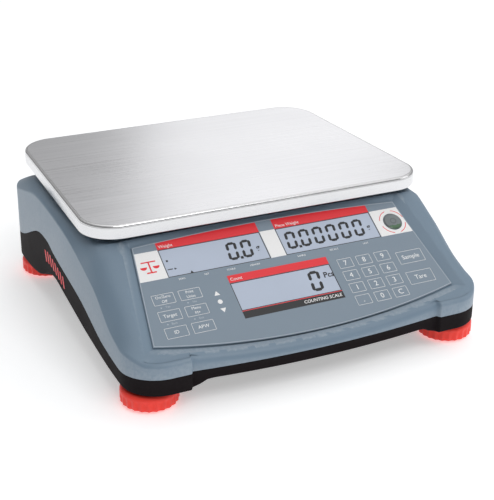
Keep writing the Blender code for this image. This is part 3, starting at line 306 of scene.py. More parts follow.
def loft(bm, rings):
    """Skin a run of closed rings with equal point counts, cap both ends and give the bands."""
    rows = [[bm.verts.new(point) for point in ring] for ring in rings]
    count = len(rows[0])
    bands = []
    for lower, upper in zip(rows, rows[1:]):
        corners = [(i, (i + 1) % count) for i in range(count)]
        bands.append([bm.faces.new((lower[i], lower[j], upper[j], upper[i])) for i, j in corners])
    bm.faces.new(rows[0])
    bm.faces.new(rows[-1])
    return bands


def arc(centre, radius, start, end, steps):
    """Points on an arc, both ends included, angles in degrees."""
    points = []
    for i in range(steps + 1):
        angle = math.radians(start + (end - start) * i / steps)
        points.append((centre[0] + radius * math.cos(angle), centre[1] + radius * math.sin(angle)))
    return points


def rounded_rectangle(width, depth, corner, centre, steps):
    x, y = width / 2 - corner, depth / 2 - corner
    corners = [(x, -y, -90), (x, y, 0), (-x, y, 90), (-x, -y, 180)]
    points = []
    for cx, cy, start in corners:
        points += arc((centre[0] + cx, centre[1] + cy), corner, start, start + 90, steps)
    return points


def along(line, y):
    """Height of a side line at y: a smooth monotone curve through its points."""
    y = min(max(y, line[0][0]), line[-1][0])
    spans = list(zip(line, line[1:]))
    slopes = [(b[1] - a[1]) / (b[0] - a[0]) for a, b in spans]
    tangents = [0.0]
    for before, after in zip(slopes, slopes[1:]):
        tangents.append(0.0 if before * after <= 0 else 2 * before * after / (before + after))
    tangents.append(0.0)
    for i, (a, b) in enumerate(spans):
        if y <= b[0]:
            break
    width = b[0] - a[0]
    t = (y - a[0]) / width
    blend = t * t * (3 - 2 * t)
    start_pull = width * tangents[i] * t * (1 - t) ** 2
    end_pull = width * tangents[i + 1] * t * t * (t - 1)
    return a[1] * (1 - blend) + b[1] * blend + start_pull + end_pull


def ease(value):
    value = min(max(value, 0.0), 1.0)
    return value * value * (3 - 2 * value)


def top_height(x, y):
    """Outer surface of the top housing, before its edges are rounded."""
    inclined = PLANE_TOP + (y - PANEL_TOP_Y) * math.tan(PANEL_TILT)
    crown = min(PLATEAU_HEIGHT, inclined)
    toe_inner = HALF_WIDTH - TOE_WIDTH
    toe_share = ease((abs(x) - toe_inner + TOE_STEP) / TOE_STEP)
    crown += (max(crown, TOE_TOP) - crown) * toe_share
    fall = (y - (HALF_DEPTH - REAR_FALL)) / REAR_FALL
    if fall > 0:
        crown = REAR_TOP + (PLATEAU_HEIGHT - REAR_TOP) * (1 - fall ** 2)
    edge = min(along(SHOULDER_LINE, y), crown)
    side = (abs(x) - (HALF_WIDTH - SHOULDER_WIDTH)) / SHOULDER_WIDTH
    if side > 0:
        crown = edge + (crown - edge) * (1 - min(side, 1.0) ** 4)
    return crown


def corner_rows(centre, radius, start, edge_round):
    return [(x, y, (centre[0] - x) / radius, (centre[1] - y) / radius, edge_round)
            for x, y in arc(centre, radius, start, start + 90, OUTLINE_CORNER)]


def half_outline():
    """Right half of the housing in plan, front centre to rear centre: point, inward way, rounding."""
    toe_inner = HALF_WIDTH - TOE_WIDTH
    toe_front = -HALF_DEPTH + TOE_SETBACK
    rows = []
    for i in range(OUTLINE_FRONT):
        x = toe_inner * i / (OUTLINE_FRONT - 1)
        y = -HALF_DEPTH + x * x / (2 * FRONT_BOW_RADIUS)
        rows.append((x, y, 0.0, 1.0, FRONT_EDGE_ROUND))
    inner_y = rows[-1][1]
    for i in range(1, TOE_ROWS + 1):
        share = ease(i / TOE_ROWS)
        y = inner_y + (toe_front - inner_y) * share
        edge_round = FRONT_EDGE_ROUND + (TOE_EDGE_ROUND - FRONT_EDGE_ROUND) * share
        rows.append((toe_inner + TOE_STEP * i / TOE_ROWS, y, 0.0, 1.0, edge_round))
    centre = (HALF_WIDTH - TOE_CORNER, toe_front + TOE_CORNER)
    rows += corner_rows(centre, TOE_CORNER, -90, TOE_EDGE_ROUND)
    rear = (HALF_WIDTH - REAR_CORNER, HALF_DEPTH - REAR_CORNER)
    for i in range(1, OUTLINE_SIDE):
        y = centre[1] + (rear[1] - centre[1]) * i / OUTLINE_SIDE
        rows.append((HALF_WIDTH, y, -1.0, 0.0, SIDE_EDGE_ROUND))
    rows += corner_rows(rear, REAR_CORNER, 0, SIDE_EDGE_ROUND)
    for i in range(1, OUTLINE_REAR + 1):
        rows.append((rear[0] * (1 - i / OUTLINE_REAR), HALF_DEPTH, 0.0, -1.0, SIDE_EDGE_ROUND))
    return rows


def full_outline():
    right = half_outline()
    left = [(-x, y, -nx, ny, edge) for x, y, nx, ny, edge in right[-2:0:-1]]
    return right + left


def top_meridian(x, y, nx, ny, edge_round):
    """Points from the split line up the wall and over the top, at one place of the outline."""
    step = 0.0005
    rise = max(top_height(x + step * nx, y + step * ny) - top_height(x, y), 0.0)
    slope = math.atan(rise / step)
    sweep = math.pi / 2 - slope
    drop = edge_round * (math.sin(sweep) - (1 - math.cos(sweep)) * math.tan(slope))
    wall_top = top_height(x, y) - drop
    split = along(SPLIT_LINE, y)
    points = [(x, y, split)]
    for i in range(ROUND_STEPS + 1):
        angle = sweep * i / ROUND_STEPS
        inward = edge_round * (1 - math.cos(angle))
        height = max(wall_top + edge_round * math.sin(angle), split + (i + 1) * FIT_GAP)
        points.append((x + inward * nx, y + inward * ny, height))
    for share in SHOULDER_SHARES:
        inward = SHOULDER_WIDTH * share * 1.04
        px, py = x + inward * nx, y + inward * ny
        points.append((px, py, top_height(px, py)))
    start = Vector(points[-1])
    centre = Vector((0.0, PAN_Y, start.z))
    near = start.lerp(centre, CREASE_SHARE)
    if start.y < CREASE_Y:
        front = -HALF_DEPTH + TOE_SETBACK + TOE_CORNER
        share = max(start.y - front, 0.0) / (CREASE_Y - front)
        near.x = start.x * (0.80 + (0.20 - CREASE_SHARE) * share)
        near.y = CREASE_Y
    middle = centre + (near - centre).normalized() * MIDDLE_RADIUS
    for place in (near, near.lerp(middle, 0.5), middle):
        points.append((place.x, place.y, top_height(place.x, place.y)))
    return points


def base_meridian(x, y, nx, ny, _edge_round):
    """Points from the split line down the wall and under the floor, at one place of the outline."""
    toe_inner = HALF_WIDTH - TOE_WIDTH
    low = along(LOWER_LINE, y)
    if y < -HALF_DEPTH + TOE_CORNER:
        low += CENTRE_LIFT * (1 - ease((abs(x) - toe_inner + TOE_BLEND) / TOE_BLEND))
    points = [(x, y, along(SPLIT_LINE, y) - FIT_GAP), (x, y, low + BASE_EDGE_ROUND)]
    for i in range(1, ROUND_STEPS + 1):
        angle = math.pi / 2 * i / ROUND_STEPS
        inward = BASE_EDGE_ROUND * (1 - math.cos(angle))
        height = low + BASE_EDGE_ROUND * (1 - math.sin(angle))
        points.append((x + inward * nx, y + inward * ny, height))
    reach = SCOOP_DEPTH
    if ny == 1.0:
        reach += -HALF_DEPTH + TOE_SETBACK - y
    for share in (0.35, 0.65, 1.0):
        inward = reach * share
        height = FLOOR_HEIGHT + (low - FLOOR_HEIGHT) * (1 - ease(share))
        points.append((x + inward * nx, y + inward * ny, height))
    start = Vector((points[-1][0], points[-1][1], 0.0))
    near = Vector((start.x * 0.85, max(start.y * 0.60, -0.46 * HALF_DEPTH), 0.0))
    middle = near.normalized() * MIDDLE_RADIUS
    for place in (near, middle):
        points.append((place.x, place.y, FLOOR_HEIGHT))
    return points


def offset_inside(meridian, kept, inward_way, side):
    """The wall's inner face: each kept point moved by the wall thickness, square to the surface."""
    points = []
    for k in kept:
        before = Vector(meridian[max(k - 1, 0)])
        after = Vector(meridian[min(k + 1, len(meridian) - 1)])
        if k == 0:
            along_way = Vector((0.0, 0.0, -side))
        else:
            along_way = (after - before).normalized()
        flat = Vector((along_way.x, along_way.y, 0.0))
        across = flat.normalized() if flat.length > 1e-6 else Vector(inward_way)
        run = flat.length
        square = -side * along_way.z * across + side * run * Vector((0, 0, 1))
        place = Vector(meridian[k]) + WALL * square
        points.append(tuple(place))
    return points


def shell(bm, meridian_of, kept, side):
    """Close an outer skin and its inner face into one wall; side is -1 for a top, 1 for a base."""
    outline = full_outline()
    outer = [meridian_of(*row) for row in outline]
    inner = [offset_inside(m, kept, (row[2], row[3], 0.0), side) for m, row in zip(outer, outline)]
    outer_rings = [[m[k] for m in outer] for k in range(len(outer[0]))]
    inner_rings = [[m[k] for m in inner] for k in range(len(kept))]
    loft(bm, outer_rings[::-1] + inner_rings)
    bmesh.ops.triangulate(bm, faces=bm.faces)


def panel_frame():
    """Panel axes from the panel's top edge: X to the right, Y up the slope, Z out of the panel."""
    tilt = Matrix.Rotation(PANEL_TILT, 4, "X")
    return Matrix.Translation((0.0, PANEL_TOP_Y, PANEL_TOP_Z)) @ tilt


PANEL = panel_frame()


def panel_outline(side_margin, low_margin):
    """Overlay outline grown by a margin, in panel axes (v is down the slope, so y is -v)."""
    lean = (OVERLAY_LOW_HALF - OVERLAY_TOP_HALF) / OVERLAY_SIDE
    top_v = -side_margin
    low_v = OVERLAY_SIDE + low_margin
    top_half = OVERLAY_TOP_HALF + side_margin + lean * top_v
    low_half = OVERLAY_TOP_HALF + side_margin + lean * low_v
    points = []
    steps = PANEL_STEPS
    for i in range(steps + 1):
        share = 2 * i / steps - 1
        points.append((low_half * share, -(low_v + OVERLAY_LOW_BOW * (1 - share * share))))
    for i in range(steps + 1):
        share = 1 - 2 * i / steps
        points.append((top_half * share, -(top_v - OVERLAY_TOP_BOW * (1 - share * share))))
    return points


def node_span(name, axes=Matrix.Identity(4)):
    """Middle and size of a carried-over node's box, seen in the given axes."""
    node = frame["nodes"][name]
    spots = [axes @ node.matrix_world @ vert.co for vert in node.data.vertices]
    low = Vector([min(spot[i] for spot in spots) for i in range(3)])
    high = Vector([max(spot[i] for spot in spots) for i in range(3)])
    return (low + high) / 2, high - low


def panel_spot(name, grow=0.0):
    """A panel part as (u, v, width, height), v down the slope."""
    middle, size = node_span(name, PANEL.inverted())
    return middle.x, -middle.y, size.x + grow, size.y + grow


def lcd_windows():
    return {name: panel_spot(name, FIT_GAP) for name in LCD_READINGS}


def panel_box(bm, u, v, width, height, low=0.0, high=PRINT, grow=0.0, corner=0.0):
    size = (width + 2 * grow, height + 2 * grow, high - low)
    box(bm, size, (u, -v, (low + high) / 2), PANEL, corner)


def foot_places():
    return {corner: node_span("foot_sole_" + corner)[0]
            for corner in ("front_left", "front_right", "rear_left", "rear_right")}


# ---- making pieces ----
def new_object(name, data):
    item = bpy.data.objects.new(name, data)
    bpy.context.scene.collection.objects.link(item)
    return item


def new_mesh(name, bm):
    mesh = bpy.data.meshes.new(name)
    bm.to_mesh(mesh)
    bm.free()
    return mesh


def add_piece(name, bm, body, slot, *materials, stands_for=(), sharp=35.0):
    """One finished piece from a bmesh: shaded, painted, riding on its body."""
    item = new_object(name, new_mesh(name, bm))
    for material in materials:
        item.data.materials.append(material)
    item.data.shade_smooth()
    item.data.set_sharp_from_angle(angle=math.radians(sharp))
    weighted = item.modifiers.new("weighted_normals", "WEIGHTED_NORMAL")
    weighted.keep_sharp = True
    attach(item, body)
    if stands_for:
        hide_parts(*stands_for)
    return item


def film_print(name, bm, ink):
    add_piece(name, bm, "housing", "grey_overlay", ink)


def printed(bm, outline, low=0.0):
    """A printed shape on the panel, from a counter-clockwise outline."""
    prism(bm, outline, low, low + PRINT, PANEL)


def carved(bm, steps):
    """The bmesh after a row of exact cuts and joins."""
    solids = []
    for solid in [bm] + [tool for _, tool in steps]:
        bmesh.ops.recalc_face_normals(solid, faces=solid.faces)
        solids.append(new_object("work", new_mesh("work", solid)))
    for (operation, _), helper in zip(steps, solids[1:]):
        step = solids[0].modifiers.new(operation.lower(), "BOOLEAN")
        step.operation = operation
        step.solver = "EXACT"
        step.object = helper
    result = bmesh.new()
    result.from_mesh(evaluated(solids[0]))
    for solid in solids:
        bpy.data.objects.remove(solid)
    return result


def evaluated(item):
    """The item's mesh with its modifiers applied, or its letters as a mesh."""
    view = bpy.context.evaluated_depsgraph_get()
    return bpy.data.meshes.new_from_object(item.evaluated_get(view))


def strip(bm, outer, inner, low, high, place):
    """A flat band between two closed outlines with the same number of points."""
    rings = []
    for outline, height in ((outer, low), (outer, high), (inner, high), (inner, low)):
        rings.append([bm.verts.new(place @ Vector((x, y, height))) for x, y in outline])
    count = len(outer)
    for i, ring in enumerate(rings):
        after = rings[(i + 1) % 4]
        for k in range(count):
            step = (k + 1) % count
            bm.faces.new((ring[k], ring[step], after[step], after[k]))


def frame_line(bm, u, v, width, height, line, low=0.0, high=PRINT, corner=0.0006):
    """A thin printed rectangle on the panel."""
    outer = rounded_rectangle(width, height, corner, (u, -v), 3)
    inner = rounded_rectangle(width - 2 * line, height - 2 * line, corner / 2, (u, -v), 3)
    strip(bm, outer, inner, low, high, PANEL)


def words(bm, text, u, v, size, align="CENTER", low=0.0, shear=0.0, bold=0.0):
    """Printed lettering on the panel, with its middle line at v."""
    curve = bpy.data.curves.new("letters", "FONT")
    curve.body = text
    curve.size = size
    curve.align_x = align
    curve.align_y = "CENTER"
    curve.extrude = PRINT / 2
    curve.resolution_u = 3
    curve.shear = shear
    curve.offset = bold
    item = new_object("letters", curve)
    mesh = evaluated(item)
    mesh.transform(PANEL @ Matrix.Translation((u, -v, low + PRINT / 2)))
    bm.from_mesh(mesh)
    bpy.data.objects.remove(item)


# ---- materials ----
FLOAT = "NodeSocketFloat"
COLOUR = "NodeSocketColor"
VECTOR = "NodeSocketVector"
# Pale tone mixed onto sharp edges: partly scuffing, partly a painted edge highlight.
WORN_AND_HIGHLIGHT_TONE = (0.75, 0.78, 0.80, 1.0)


def add_node(tree, kind, inputs=None, **settings):
    """A node with its settings, each input fed by a link or set to a plain value."""
    node = tree.nodes.new(kind)
    for key, value in settings.items():
        setattr(node, key, value)
    for key, value in (inputs or {}).items():
        if isinstance(value, bpy.types.NodeSocket):
            tree.links.new(value, node.inputs[key])
        else:
            node.inputs[key].default_value = value
    return node


def sums(tree, operation, *values, clamp=False):
    """The result of one sum on sockets and plain values."""
    node = add_node(tree, "ShaderNodeMath", dict(enumerate(values)), operation=operation,
                    use_clamp=clamp)
    return node.outputs[0]


def noise(tree, place, scale, detail, roughness=0.5):
    return add_node(tree, "ShaderNodeTexNoise", {
        "Vector": place, "Scale": scale, "Detail": detail, "Roughness": roughness}).outputs["Fac"]


def scaled(tree, colour, tone):
    node = add_node(tree, "ShaderNodeVectorMath", {0: colour, "Scale": tone}, operation="SCALE")
    return node.outputs["Vector"]


def surface_group(name, inputs, build):
    """A shared group that gives a colour, a roughness and a normal from what `build` makes."""
    group = bpy.data.node_groups.new(name, "ShaderNodeTree")
    for label, kind, value in inputs:
        socket = group.interface.new_socket(name=label, in_out="INPUT", socket_type=kind)
        socket.default_value = value
    for label, kind in (("Colour", COLOUR), ("Roughness", FLOAT), ("Normal", VECTOR)):
        group.interface.new_socket(name=label, in_out="OUTPUT", socket_type=kind)
    given = group.nodes.new("NodeGroupInput").outputs
    place = add_node(group, "ShaderNodeTexCoord").outputs["Object"]
    colour, roughness, height, strength, distance = build(group, given, place)
    bump = add_node(group, "ShaderNodeBump",
                    {"Distance": distance, "Height": height, "Strength": strength})
    add_node(group, "NodeGroupOutput", {"Colour": colour, "Roughness": roughness,
                                        "Normal": bump.outputs["Normal"]})
    return group


def moulded(group, given, place):
    """Grain, cloudy tone, dust and pale sharp edges of moulded or coated surfaces; the pale edge
    colour is partly real scuffing and partly a painted edge highlight.
    """
    grain = noise(group, place, given["Grain Size"], 2.5, 0.6)
    cloud = sums(group, "SUBTRACT", noise(group, place, 22.0, 4.0), 0.5)
    speck = noise(group, place, 420.0, 3.0)
    pointed = add_node(group, "ShaderNodeNewGeometry").outputs["Pointiness"]
    # Sharp edges, found by pointiness and broken by speckle, get the pale tone: partly scuffing,
    # partly a painted highlight along the edges.
    edge = add_node(group, "ShaderNodeMapRange",
                    {"Value": pointed, "From Min": 0.515, "From Max": 0.60}).outputs["Result"]
    speckled_edge = sums(group, "MULTIPLY", edge, speck)
    worn_and_highlit = sums(group, "MULTIPLY", speckled_edge, given["Edge Wear And Highlight"], clamp=True)
    fine = sums(group, "MULTIPLY", sums(group, "SUBTRACT", grain, 0.5), 0.10)
    tone = sums(group, "ADD", sums(group, "MULTIPLY_ADD", cloud, given["Mottle"], fine), 1.0)
    blend = add_node(group, "ShaderNodeMix", {"A": scaled(group, given["Colour"], tone),
                                              "B": WORN_AND_HIGHLIGHT_TONE, "Factor": worn_and_highlit}, data_type="RGBA")
    sheen = sums(group, "MULTIPLY_ADD", cloud, 0.22, given["Roughness"])
    return blend.outputs["Result"], sheen, grain, given["Grain Depth"], 0.0002


def brushed(group, given, place):
    """Long fine scratches, cloudy tone and faint smears of worked metal."""
    stretched = add_node(group, "ShaderNodeVectorMath", {0: place, 1: given["Stretch"]},
                         operation="MULTIPLY").outputs["Vector"]
    scratch = noise(group, stretched, 1.0, 5.0, 0.65)
    streak = sums(group, "SUBTRACT", scratch, 0.5)
    smear = sums(group, "SUBTRACT", noise(group, place, 9.0, 3.0), 0.5)
    tone = sums(group, "MULTIPLY_ADD", streak, given["Contrast"], 1.0)
    broad = sums(group, "MULTIPLY_ADD", smear, 0.12, given["Roughness"])
    streaky = sums(group, "MULTIPLY_ADD", streak, 0.25, broad)
    return scaled(group, given["Colour"], tone), streaky, scratch, given["Depth"], 0.00005


def surfaced(name, group, colour, roughness, settings, shader_values):
    """A material whose colour, roughness and normal come from a shared surface group."""
    material = bpy.data.materials.new(name)
    material.use_nodes = True
    tree = material.node_tree
    shader = tree.nodes["Principled BSDF"]
    surface = tree.nodes.new("ShaderNodeGroup")
    surface.node_tree = group
    settings = {"Colour": (*colour, 1.0), "Roughness": roughness, **settings}
    for node, values in ((surface, settings), (shader, shader_values)):
        for key, value in values.items():
            node.inputs[key].default_value = value
    for label, socket in (("Colour", "Base Color"), ("Roughness", "Roughness"),
                          ("Normal", "Normal")):
        tree.links.new(surface.outputs[label], shader.inputs[socket])
    return material


def plastic(name, colour, roughness=0.5, grain=1500.0, depth=0.15, mottle=0.06, edge_wear_and_highlight=0.25,
            gloss=0.5):
    settings = {"Grain Size": grain, "Grain Depth": depth, "Mottle": mottle, "Edge Wear And Highlight": edge_wear_and_highlight}
    return surfaced(name, MOULDED, colour, roughness, settings, {"Specular IOR Level": gloss})


def metal(name, colour, roughness, stretch, depth=0.2, contrast=0.2):
    settings = {"Stretch": stretch, "Depth": depth, "Contrast": contrast}
    return surfaced(name, BRUSHED, colour, roughness, settings, {"Metallic": 1.0})


MOULDED = surface_group("moulded_surface", [
    ("Colour", COLOUR, (0.5, 0.5, 0.5, 1.0)), ("Roughness", FLOAT, 0.5),
    ("Grain Size", FLOAT, 1500.0), ("Grain Depth", FLOAT, 0.15), ("Mottle", FLOAT, 0.06),
    ("Edge Wear And Highlight", FLOAT, 0.25)], moulded)
BRUSHED = surface_group("brushed_metal", [
    ("Colour", COLOUR, (0.6, 0.6, 0.6, 1.0)), ("Roughness", FLOAT, 0.3),
    ("Stretch", VECTOR, (6.0, 1400.0, 1400.0)), ("Depth", FLOAT, 0.2),
    ("Contrast", FLOAT, 0.2)], brushed)
HOUSING = plastic("housing_blue_grey", (0.192, 0.268, 0.348), 0.42, 1400, 0.22, 0.10, 0.30)
BASE = plastic("base_black", (0.012, 0.009, 0.010), 0.55, 1300, 0.25, 0.15, 0.01, 0.03)
FOOT_RED = plastic("foot_red", (1.0, 0.060, 0.042), 0.40, 900, 0.10, 0.08, 0.05, 0.3)
FILM = plastic("film_grey", (0.232, 0.295, 0.362), 0.42, 2600, 0.10, 0.05, 0.0)
INK_RED = plastic("ink_red", (0.88, 0.030, 0.042), 0.42, 2600, 0.08, 0.05, 0.0)
INK_WHITE = plastic("ink_white", (0.97, 0.97, 0.97), 0.42, 2600, 0.08, 0.03, 0.0)
# Pale ink for the key titles; also the line along the film's edge, which is partly a painted edge
# highlight.
PALE_INK_AND_EDGE_HIGHLIGHT = plastic("pale_ink_and_edge_highlight", (0.50, 0.56, 0.62), 0.45, 2600, 0.08, 0.05, 0.0)
INK_BLACK = plastic("ink_black", (0.022, 0.022, 0.024), 0.40, 2600, 0.08, 0.05, 0.0)
LCD_INK = plastic("lcd_segment", (0.012, 0.013, 0.016), 0.35, 2600, 0.0, 0.10, 0.0)
LCD_PLATE = plastic("lcd_plate", (0.50, 0.57, 0.70), 0.20, 3200, 0.04, 0.16, 0.0, 0.7)
RUBBER = plastic("rubber_black", (0.020, 0.020, 0.020), 0.80, 700, 0.35, 0.20, 0.05)
DARK_CASE = plastic("case_dark", (0.045, 0.045, 0.050), 0.55, 1200, 0.20, 0.12, 0.10)
BOARD = plastic("board_green", (0.016, 0.120, 0.050), 0.40, 500, 0.10, 0.25, 0.05)
VIAL_CUP = plastic("vial_cup", (0.16, 0.19, 0.20), 0.16, 1200, 0.02, 0.10, 0.0, 0.8)
VIAL_LIQUID = plastic("vial_liquid", (0.06, 0.15, 0.07), 0.06, 600, 0.0, 0.20, 0.0, 0.8)
PAN_TOP = metal("pan_brushed", (0.70, 0.70, 0.72), 0.31, (3.5, 1000.0, 1000.0), 0.40, 0.50)
PAN_BEND = metal("pan_bend", (0.74, 0.74, 0.75), 0.24, (30.0, 60.0, 900.0), 0.15, 0.10)
# Dark copy of the pan metal for the narrow crease bands: painted shade in the crease.
PAN_CREASE_SHADE = metal("pan_crease_painted_shade", (0.30, 0.30, 0.30), 0.35, (60.0, 60.0, 900.0), 0.15, 0.20)
ZINC = metal("zinc_plate", (0.56, 0.56, 0.57), 0.34, (300.0, 300.0, 300.0), 0.20, 0.25)
ALUMINIUM = metal("aluminium_milled", (0.70, 0.71, 0.72), 0.34, (900.0, 20.0, 900.0), 0.25, 0.20)
CAST = metal("aluminium_cast", (0.50, 0.50, 0.51), 0.50, (500.0, 500.0, 500.0), 0.60, 0.30)
BRASS = metal("pin_brass", (0.75, 0.60, 0.32), 0.28, (300.0, 20.0, 300.0), 0.10, 0.15)

KEPT_FINISHES = {
    "pan_support": CAST, "load_cell": ALUMINIUM, "upper_spacer": ZINC, "lower_spacer": ZINC,
    "upper_bolt": ZINC, "lower_bolt": ZINC, "display_board": BOARD, "main_board": BOARD,
    "mains_inlet": BASE, "serial_port": ZINC, "battery_cover": BASE, "battery": DARK_CASE,
    "power_supply": DARK_CASE, "lock_switch": DARK_CASE, "housing_screw": ZINC,
    "pan_pad": RUBBER, "foot_sole": RUBBER, "lcd": LCD_PLATE,
}


def paint_kept_nodes():
    """Gives each carried-over node the material of its kind."""
    for name, node in frame["nodes"].items():
        starts = [start for start in KEPT_FINISHES if name.startswith(start)]
        if starts:
            node.data.materials.clear()
            node.data.materials.append(KEPT_FINISHES[max(starts, key=len)])


# ---- housing, base and pan ----
def build_housing():
    bm = bmesh.new()
    last = ROUND_STEPS + 1
    shares = len(SHOULDER_SHARES)
    kept = [0, 1, last, last + 3, last + 6, last + shares, last + shares + 1, last + shares + 3]
    shell(bm, top_meridian, kept, -1)
    backing = bmesh.new()
    prism(backing, panel_outline(RECESS_MARGIN - WALL, 0.0), RECESS_FLOOR - WALL, RECESS_FLOOR / 2,
          PANEL)
    floor_rows = panel_outline(FILM_GAP, FILM_GAP)
    crest_rows = panel_outline(RECESS_MARGIN, RECESS_LOW_MARGIN)
    recess = bmesh.new()
    rings = []
    lift = FRAME_PROUD - RECESS_FLOOR
    for share in (0.0, 1.0, 2.0):
        rows = [(fx + (cx - fx) * share, fy + (cy - fy) * share)
                for (fx, fy), (cx, cy) in zip(floor_rows, crest_rows)]
        height = RECESS_FLOOR + share * lift
        rings.append([PANEL @ Vector((x, y, height)) for x, y in rows])
    loft(recess, rings)
    windows = bmesh.new()
    deep = RECESS_FLOOR - 3 * WALL
    for window in lcd_windows().values():
        panel_box(windows, *window, deep, RECESS_FLOOR + FIT_GAP, FIT_GAP)
    cylinder(windows, VIAL_RADIUS + FIT_GAP, deep, RECESS_FLOOR + FIT_GAP,
             (VIAL_PLACE[0], -VIAL_PLACE[1]), PANEL)
    openings = bmesh.new()
    opening = HUB_SIZE + 2 * HUB_CLEARANCE
    box(openings, (opening, opening, 6 * WALL), (CELL_REACH, PAN_Y, PLATEAU_HEIGHT), corner=0.003)
    for name in ("mains_inlet", "serial_port"):
        middle, size = node_span(name)
        box(openings, (size.x + 2 * FIT_GAP, 8 * WALL, size.z + 2 * FIT_GAP),
            (middle.x, HALF_DEPTH, middle.z))
    result = carved(bm, [("UNION", backing), ("DIFFERENCE", recess), ("DIFFERENCE", windows),
                         ("DIFFERENCE", openings)])
    add_piece("housing_shell", result, "housing", "blue_grey_abs", HOUSING,
              stands_for=["top_housing"], sharp=30)


def build_base_shell():
    bm = bmesh.new()
    last = ROUND_STEPS + 1
    shell(bm, base_meridian, [0, (ROUND_STEPS + 3) // 2, last + 1, last + 3, last + 4, last + 5], 1)
    bosses = bmesh.new()
    middle = FLOOR_HEIGHT + WALL / 2
    for place in foot_places().values():
        cylinder(bosses, STUD_RADIUS + THREAD_CLEARANCE + BOSS_WALL, middle, BOSS_TOP, place,
                 sides=32)
    holes = bmesh.new()
    for place in foot_places().values():
        cylinder(holes, STUD_RADIUS + THREAD_CLEARANCE, FLOOR_HEIGHT - WALL, STUD_TOP + WALL,
                 place, sides=32)
    heads = [(f"lower_bolt_{i}", BOLT_HEAD_RADIUS + BOLT_CLEARANCE, BOLT_HEAD_HEIGHT)
             for i in (1, 2)]
    heads += [(f"housing_screw_{i}", SCREW_HEAD_RADIUS + SCREW_CLEARANCE,
               SCREW_HEAD_HEIGHT + 2 * FIT_GAP) for i in (1, 2, 3, 4)]
    for name, radius, height in heads:
        cylinder(holes, radius, FLOOR_HEIGHT - WALL, FLOOR_HEIGHT + height, node_span(name)[0],
                 sides=24)
    middle, size = node_span("battery_cover")
    box(holes, (size.x + 2 * FIT_GAP, size.y + 2 * FIT_GAP, 4 * WALL),
        (middle.x, middle.y, FLOOR_HEIGHT))
    box(holes, (SWITCH_KNOB[0] + SWITCH_TRAVEL + 2 * FIT_GAP, SWITCH_KNOB[1] + 2 * FIT_GAP,
                4 * WALL), (SWITCH_PLACE[0] + SWITCH_TRAVEL / 2, SWITCH_PLACE[1], FLOOR_HEIGHT))
    result = carved(bm, [("UNION", bosses), ("DIFFERENCE", holes)])
    add_piece("base_shell", result, "housing", "black_abs", BASE, stands_for=["base_housing"],
              sharp=30)


def build_pan_sheet():
    """The pan: flat brushed top, rolled edge with a crease on both sides shown as a narrow band of
    painted shade, bright rim.
    """
    def ring(inset, height):
        points = []
        for x, y in rounded_rectangle(PAN_WIDTH - 2 * inset, PAN_DEPTH - 2 * inset,
                                      PAN_CORNER - inset, (0.0, PAN_Y), 20):
            back = (y - PAN_Y) / PAN_DEPTH + 0.5
            points.append((x * (1 - back * (1 - PAN_REAR_WIDTH / PAN_WIDTH)), y, height))
        return points

    bm = bmesh.new()
    low = TOTAL_HEIGHT - PAN_RIM
    outside = [(0.030, TOTAL_HEIGHT), (PAN_EDGE + CREASE_LINE, TOTAL_HEIGHT)]
    for i in range(ROLL_STEPS + 1):
        angle = math.pi / 2 * i / ROLL_STEPS
        outside.append((PAN_EDGE * (1 - math.sin(angle)),
                        TOTAL_HEIGHT - PAN_EDGE * (1 - math.cos(angle))))
    outside += [(0.0, TOTAL_HEIGHT - PAN_EDGE - CREASE_LINE), (0.0, low + 0.0004), (0.0003, low)]
    bend = PAN_EDGE - PAN_SHEET
    inside = [(PAN_SHEET - 0.0003, low), (PAN_SHEET, low + 0.0004)]
    for i in range(5):
        angle = math.pi / 2 * (1 - i / 4)
        inside.append((PAN_SHEET + bend * (1 - math.sin(angle)),
                       TOTAL_HEIGHT - PAN_SHEET - bend * (1 - math.cos(angle))))
    inside.append((0.030, TOTAL_HEIGHT - PAN_SHEET))
    bands = loft(bm, [ring(*spot) for spot in outside + inside])
    # The two crease bands take the dark metal: painted shade along the crease.
    for face in bands[1] + bands[ROLL_STEPS + 2]:
        face.material_index = 2
    for face in sum(bands[2:ROLL_STEPS + 2] + bands[ROLL_STEPS + 3:len(outside)], []):
        face.material_index = 1
    bmesh.ops.recalc_face_normals(bm, faces=bm.faces)
    add_piece("pan_sheet", bm, "pan", "brushed_stainless", PAN_TOP, PAN_BEND, PAN_CREASE_SHADE,
              stands_for=["weighing_pan"], sharp=40)


